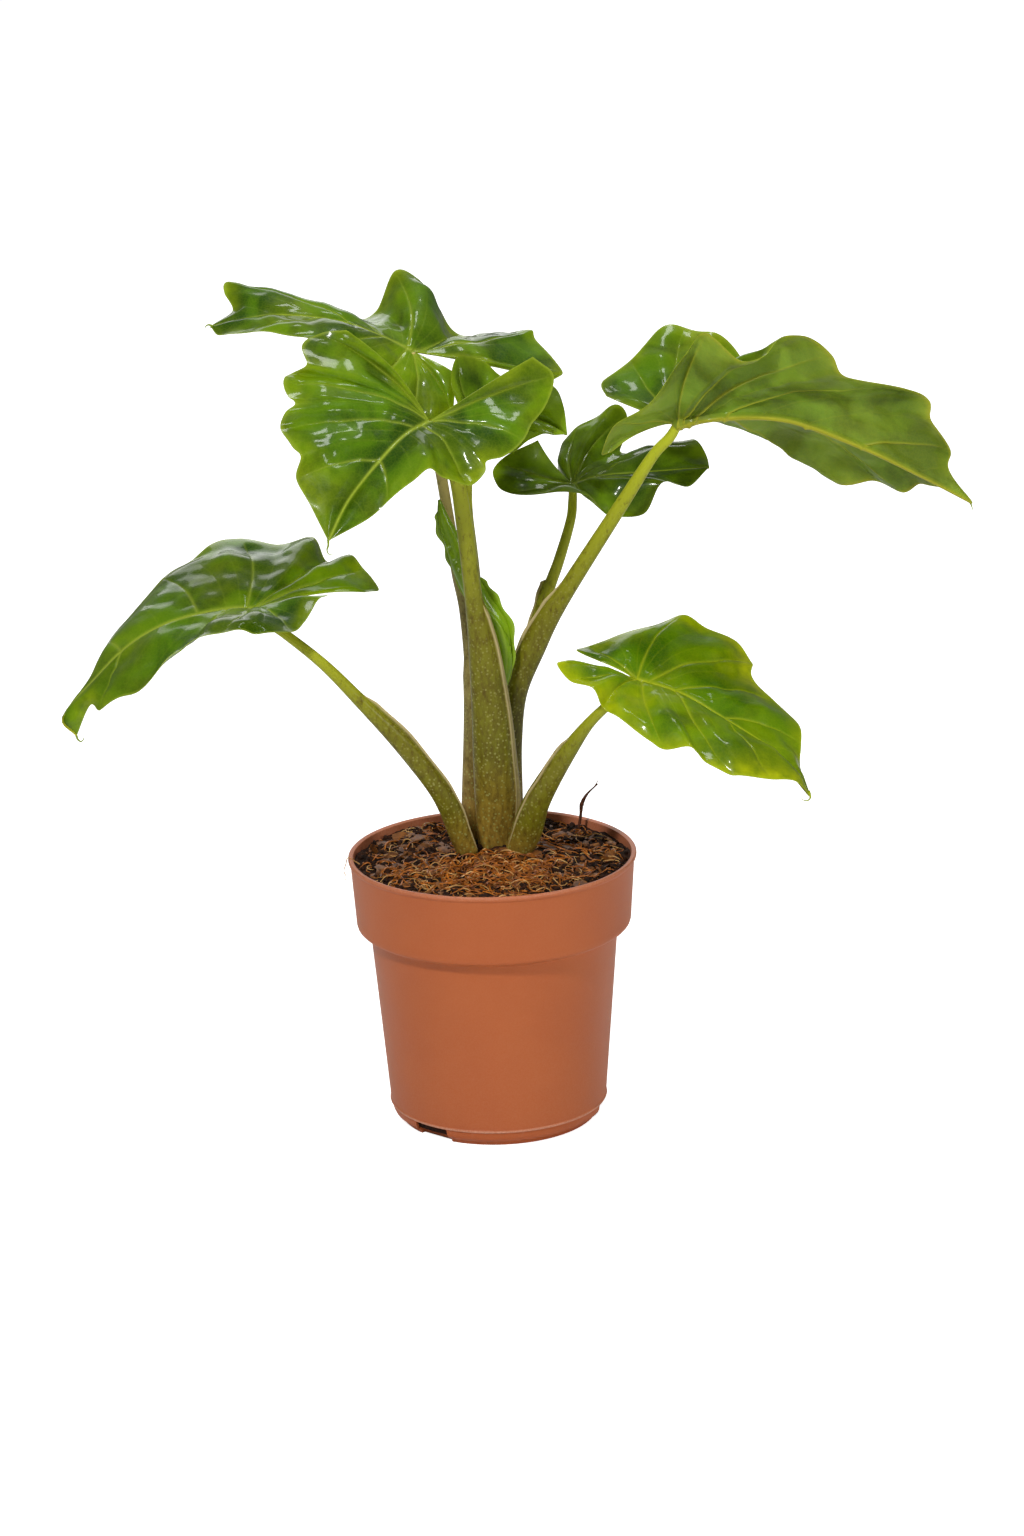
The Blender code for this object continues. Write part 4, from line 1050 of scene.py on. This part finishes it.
def make_pot():
    """The turned pot with its notches cut. Wear tells the plastic where the seam and the lip are rubbed."""
    points, faces = turned(OUTER + [(0.5, FLOOR_THICKNESS)] + INNER + [OUTER[0]], POT_SIDES)
    height, radius = points[:, 2], np.hypot(points[:, 0], points[:, 1])
    seam = line(height - SEAM_HEIGHT, 0.8) * (radius > WALL_FOOT_RADIUS)
    lip = line(height - POT_HEIGHT + 1, 1.2) * 0.35
    pot = make_piece("nursery_pot", points, faces, [POT_PLASTIC], values={"wear": np.maximum(seam, lip)},
                     replaces=["pot"], slot="pot_plastic")
    for i in range(NOTCH_COUNT):
        cutter = notch_cutter(i)
        bpy.context.scene.collection.objects.link(cutter)
        hole = pot.modifiers.new("notch", "BOOLEAN")
        hole.operation = "DIFFERENCE"
        hole.object = cutter
        bpy.context.view_layer.update()
        cut = bpy.data.meshes.new_from_object(pot.evaluated_get(bpy.context.evaluated_depsgraph_get()))
        pot.modifiers.clear()
        pot.data = cut
        bpy.data.objects.remove(cutter)
    pot.data.shade_smooth()
    pot.data.set_sharp_from_angle(angle=POT_SHARP_ANGLE)
    return pot


pot = make_pot()
print("pot faces:", len(pot.data.polygons))

# %% [markdown]
# ## Coir compost
#
# Coir is shredded coconut husk: soft dark crumbs held in a tangle of springy orange-brown fibres. The body
# under it is one lumpy surface that fills the pot. Crumbs and flakes lie on it, and the fibres are thin tubes
# that curl over it. Real fibres are 0.2 to 0.4 mm thick, and these are about 1 mm thick so that they show.

# %% Compost materials


def dry_matter(name, dark, light, lump_mm, roughness, relief_mm=0.6):
    """Dry plant matter, such as husk, bark or wood: dull, with its colour broken up by fine noise."""
    made, tree, shader = start_material(name)
    place = add(tree, "TexCoord").outputs["Object"]
    lumps = add(tree, "TexNoise", {"Vector": place, "Scale": 1000 / lump_mm, "Detail": 6, "Roughness": 0.65})
    share = add(tree, "MapRange", {"Value": lumps.outputs["Fac"], "From Min": 0.35, "From Max": 0.65})
    tint = add(tree, "Mix", {0: share.outputs[0], 6: linear(dark), 7: linear(light)}, data_type="RGBA")
    bump = add(tree, "Bump", {"Height": lumps.outputs["Fac"], "Strength": 0.6, "Distance": relief_mm * MM})
    fill(tree, shader, {"Base Color": tint.outputs[2], "Roughness": roughness, "Specular IOR Level": 0.3,
                        "Normal": bump.outputs["Normal"]})
    return made


COIR_CRUMB = dry_matter("coir_crumb", "0f0602", "3e1e08", 4.5, 0.9, 1.8)
COIR_FIBRE = dry_matter("coir_fibre", "5e2a04", "cc7826", 9, 0.4)
PALE_FIBRE = dry_matter("pale_coir_fibre", "a87030", "e8b874", 9, 0.4)
BARK_FLAKE = dry_matter("bark_flake", "40200a", "925a24", 6, 0.55)
TWIG_BARK = dry_matter("dry_twig_bark", "2a140a", "6b3a20", 2, 0.8)
CORM_SKIN = dry_matter("corm_skin", "3b2412", "7a5230", 6, 0.85)
print("materials so far:", len(bpy.data.materials))

# %% Compost body
SOIL_EDGE_HEIGHT, SOIL_MOUND, SOIL_LUMP, SOIL_INSET = 194.0, 10.0, 2.2, 0.8
SOIL_RINGS, SOIL_SIDES = 64, 200
INNER_EDGE, AXIS_RADIUS = 100.9, 0.02
MOUND_X, MOUND_Y, MOUND_REACH = 5, -10, 55


def soil_height(x, y):
    """The compost's surface in mm: a mound towards the front middle, with lumps."""
    mound = SOIL_MOUND * math.exp(-((x - MOUND_X) ** 2 + (y - MOUND_Y) ** 2) / MOUND_REACH**2)
    place = Vector((x, y, 0))
    return SOIL_EDGE_HEIGHT + mound + SOIL_LUMP * (noise.noise(place / 17) + 0.5 * noise.noise(place / 8))


def crumb_height(x, y):
    """The lumps with fine crumbs on them."""
    place = Vector((x, y, 0))
    crumbs = noise.noise(place / 4.5) + 0.6 * noise.noise(place / 2.2)
    return soil_height(x, y) + 1.1 * crumbs - 0.6


def make_soil_body():
    """The turned compost body. Every ring of its top is then lifted to the lumpy surface."""
    top = [(INNER_EDGE * i / SOIL_RINGS, SOIL_EDGE_HEIGHT) for i in range(1, SOIL_RINGS + 1)]
    wall = [(radius - SOIL_INSET, height + SOIL_INSET) for radius, height in INNER[2::-1]]
    ends = (AXIS_RADIUS, SOIL_EDGE_HEIGHT), (AXIS_RADIUS, FLOOR_THICKNESS + 0.4)
    points, faces = turned([ends[0], *top, *wall, ends[1]], SOIL_SIDES)
    on_top = points[:, 2] == SOIL_EDGE_HEIGHT
    points[on_top, 2] = [crumb_height(x, y) for x, y in points[on_top, :2]]
    return make_piece("coir_compost", points, faces, [COIR_CRUMB], replaces=["soil"], slot="soil")


soil = make_soil_body()
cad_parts["corm"].data.materials.clear()
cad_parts["corm"].data.materials.append(CORM_SKIN)
print("compost faces:", len(soil.data.polygons))

# %% Fibres, crumbs and flakes
random = np.random.default_rng(11)
STEM_FEET = [(*PETIOLES[name]["path"][2][:2], 0.5 * PETIOLES[name]["path"][2][3] + 1) for name in PETIOLES]
STEM_FEET.append((*YOUNG_PATH[1][:2], 0.5 * YOUNG_PATH[1][3] + 1))
EDGE_MARGIN, FIBRE_MARGIN = 3, 1.5
FRONT_SHARE, FRONT_HEAP, HEAP_SPREAD = 0.5, (0, -46), (34, 18)


def clear_of_stems(points):
    """True if no point lies inside a stem where it meets the compost."""
    return all(np.hypot(points[:, 0] - x, points[:, 1] - y).min() > radius for x, y, radius in STEM_FEET)


def spot_on_soil():
    """A random place on the compost, with all of the disc equally likely."""
    angle = random.uniform(0, math.tau)
    radius = (INNER_EDGE - EDGE_MARGIN) * random.uniform() ** 0.5
    return np.array([radius * math.cos(angle), radius * math.sin(angle)])


def curled_path(start, length, curl, lift, count=9):
    """A fibre's path, which curls over the compost and arches off it by the lift. None if it has no room."""
    step = length / (count - 1)
    heading = random.uniform(0, math.tau)
    turn = random.normal(0, curl)
    spots = [start]
    for _ in range(count - 1):
        heading += turn + random.normal(0, 0.25)
        spots.append(spots[-1] + step * np.array([math.cos(heading), math.sin(heading)]))
    spots = np.array(spots)
    if np.hypot(*spots.T).max() > INNER_EDGE - FIBRE_MARGIN:
        return None
    rise = lift * np.sin(np.linspace(0.1, math.pi * 0.95, count))
    height = [soil_height(x, y) + up for (x, y), up in zip(spots, rise)]
    path = np.column_stack([spots, height])
    return path if clear_of_stems(path) else None


def make_fibres(name, finish, count, longest, curl, radius):
    """Curled fibres, tapered at both ends. About half of them start in a heap at the front of the compost."""
    points, faces, total = [], [], 0
    while len(points) < count:
        in_front = random.uniform() < FRONT_SHARE
        start = np.array(FRONT_HEAP) + random.normal(0, HEAP_SPREAD) if in_front else spot_on_soil()
        path = curled_path(start, random.uniform(6, longest), curl, random.uniform(0.3, 4.2))
        if path is None:
            continue
        thin = radius * random.uniform(0.6, 1.3)
        verts, skin = tube(path, thin * np.sin(np.linspace(0.35, math.pi - 0.25, len(path))), 4)
        points.append(verts)
        faces.append(skin + total)
        total += len(verts)
    return make_piece(name, np.vstack(points), np.vstack(faces), [finish], slot="soil")


def make_scraps(name, finish, count, low, high, flatness):
    """Small broken lumps or flakes, each a squashed and jittered ball, half sunk in the compost."""
    ball = bmesh.new()
    bmesh.ops.create_icosphere(ball, subdivisions=1, radius=1)
    shape = np.array([v.co for v in ball.verts])
    skin = np.array([[v.index for v in f.verts] for f in ball.faces])
    ball.free()
    points, faces = [], []
    while len(points) < count:
        x, y = spot_on_soil()
        size = random.uniform(low, high) * np.array([1, random.uniform(0.4, 0.9), flatness])
        if not clear_of_stems(np.array([[x, y]])) or math.hypot(x, y) + size[0] > INNER_EDGE:
            continue
        turn = Matrix.Rotation(random.uniform(0, math.tau), 3, "Z")
        tilt = Matrix.Rotation(random.normal(0, 0.5), 3, "X")
        lump = shape * random.uniform(0.75, 1.2, (len(shape), 1)) * size
        points.append(lump @ np.array(turn @ tilt).T + [x, y, soil_height(x, y) + 0.4 * size[2]])
        faces.append(skin + len(shape) * len(faces))
    return make_piece(name, np.vstack(points), np.vstack(faces), [finish], slot="soil")


loose = [
    make_fibres("coir_fibres", COIR_FIBRE, 620, 34, 0.5, 0.62),
    make_fibres("pale_fibres", PALE_FIBRE, 260, 24, 0.4, 0.45),
    make_scraps("coir_crumbs", COIR_CRUMB, 1300, 1.0, 3.0, 0.8),
    make_scraps("bark_flakes", BARK_FLAKE, 260, 3.0, 9.0, 0.16),
]
print("loose pieces in the compost:", [len(piece.data.polygons) for piece in loose])

# %% [markdown]
# ## Twig and root thread
#
# A dead twig stands in the compost, with a knot where it once branched, and one thin dry root hangs over the
# rim on the left. Both are tapered tubes along a given path.

# %% Twig and root
TWIG_PATH = [(62, 62, 178), (66, 63, 206), (67, 62, 215), (71, 61, 223), (79, 60, 231)]
TWIG_RADII = [1.1, 1.1, 1.7, 0.9, 0.45]
TWIG_RINGS, TWIG_SIDES, BARK_RIPPLE = 45, 12, 0.12
SPUR_PATH = [(76, 60.5, 228), (78.5, 60, 232), (79, 60, 234)]
ROOT_PATH = [(-94, -6, 193), (-99, -7, 197), (-104.6, -8, 200.8), (-106.5, -9, 196), (-108, -9, 191),
             (-106.5, -10, 187), (-107.5, -10, 184)]
SPUR_RINGS, ROOT_RINGS, THREAD_SIDES = 9, 40, 8
THREAD_START, THREAD_END = 0.45, 0.2


def thread_along(rows, rings):
    """A thin tube that tapers along a smooth curve through the rows."""
    path = on_curve(rows, np.linspace(0, len(rows) - 1, rings))
    return tube(path, np.linspace(THREAD_START, THREAD_END, rings), THREAD_SIDES)


def make_twig():
    """The knotty twig, with a short spur at its tip."""
    t = np.linspace(0, len(TWIG_PATH) - 1, TWIG_RINGS)
    path = on_curve(TWIG_PATH, t)
    radii = np.interp(t, range(len(TWIG_RADII)), TWIG_RADII) * (1 + BARK_RIPPLE * ripple(path, 3))
    points, faces = tube(path, radii, TWIG_SIDES)
    spur, spur_faces = thread_along(SPUR_PATH, SPUR_RINGS)
    faces = np.vstack([faces, spur_faces + len(points)])
    points = np.vstack([points, spur])
    return make_piece("dry_twig", points, faces, [TWIG_BARK], replaces=["twig"], slot="twig")


twig = make_twig()
root_thread = make_piece("root_thread", *thread_along(ROOT_PATH, ROOT_RINGS), [PALE_FIBRE], slot="soil")
print("faces on the twig and the root thread:", len(twig.data.polygons), len(root_thread.data.polygons))

# %% [markdown]
# ## The two boxes
#
# The construction model's box and the dressed model's box are printed one after the other. The dressed
# model has to stay inside the construction model's box.

# %% Print the two boxes
sizes = {"cad": [list(corner) for corner in CAD_BOX], "visual": [list(corner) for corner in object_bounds()]}
for kind, (low, high) in sizes.items():
    print(kind, "box in mm:", [round((b - a) / MM, 1) for a, b in zip(low, high)])
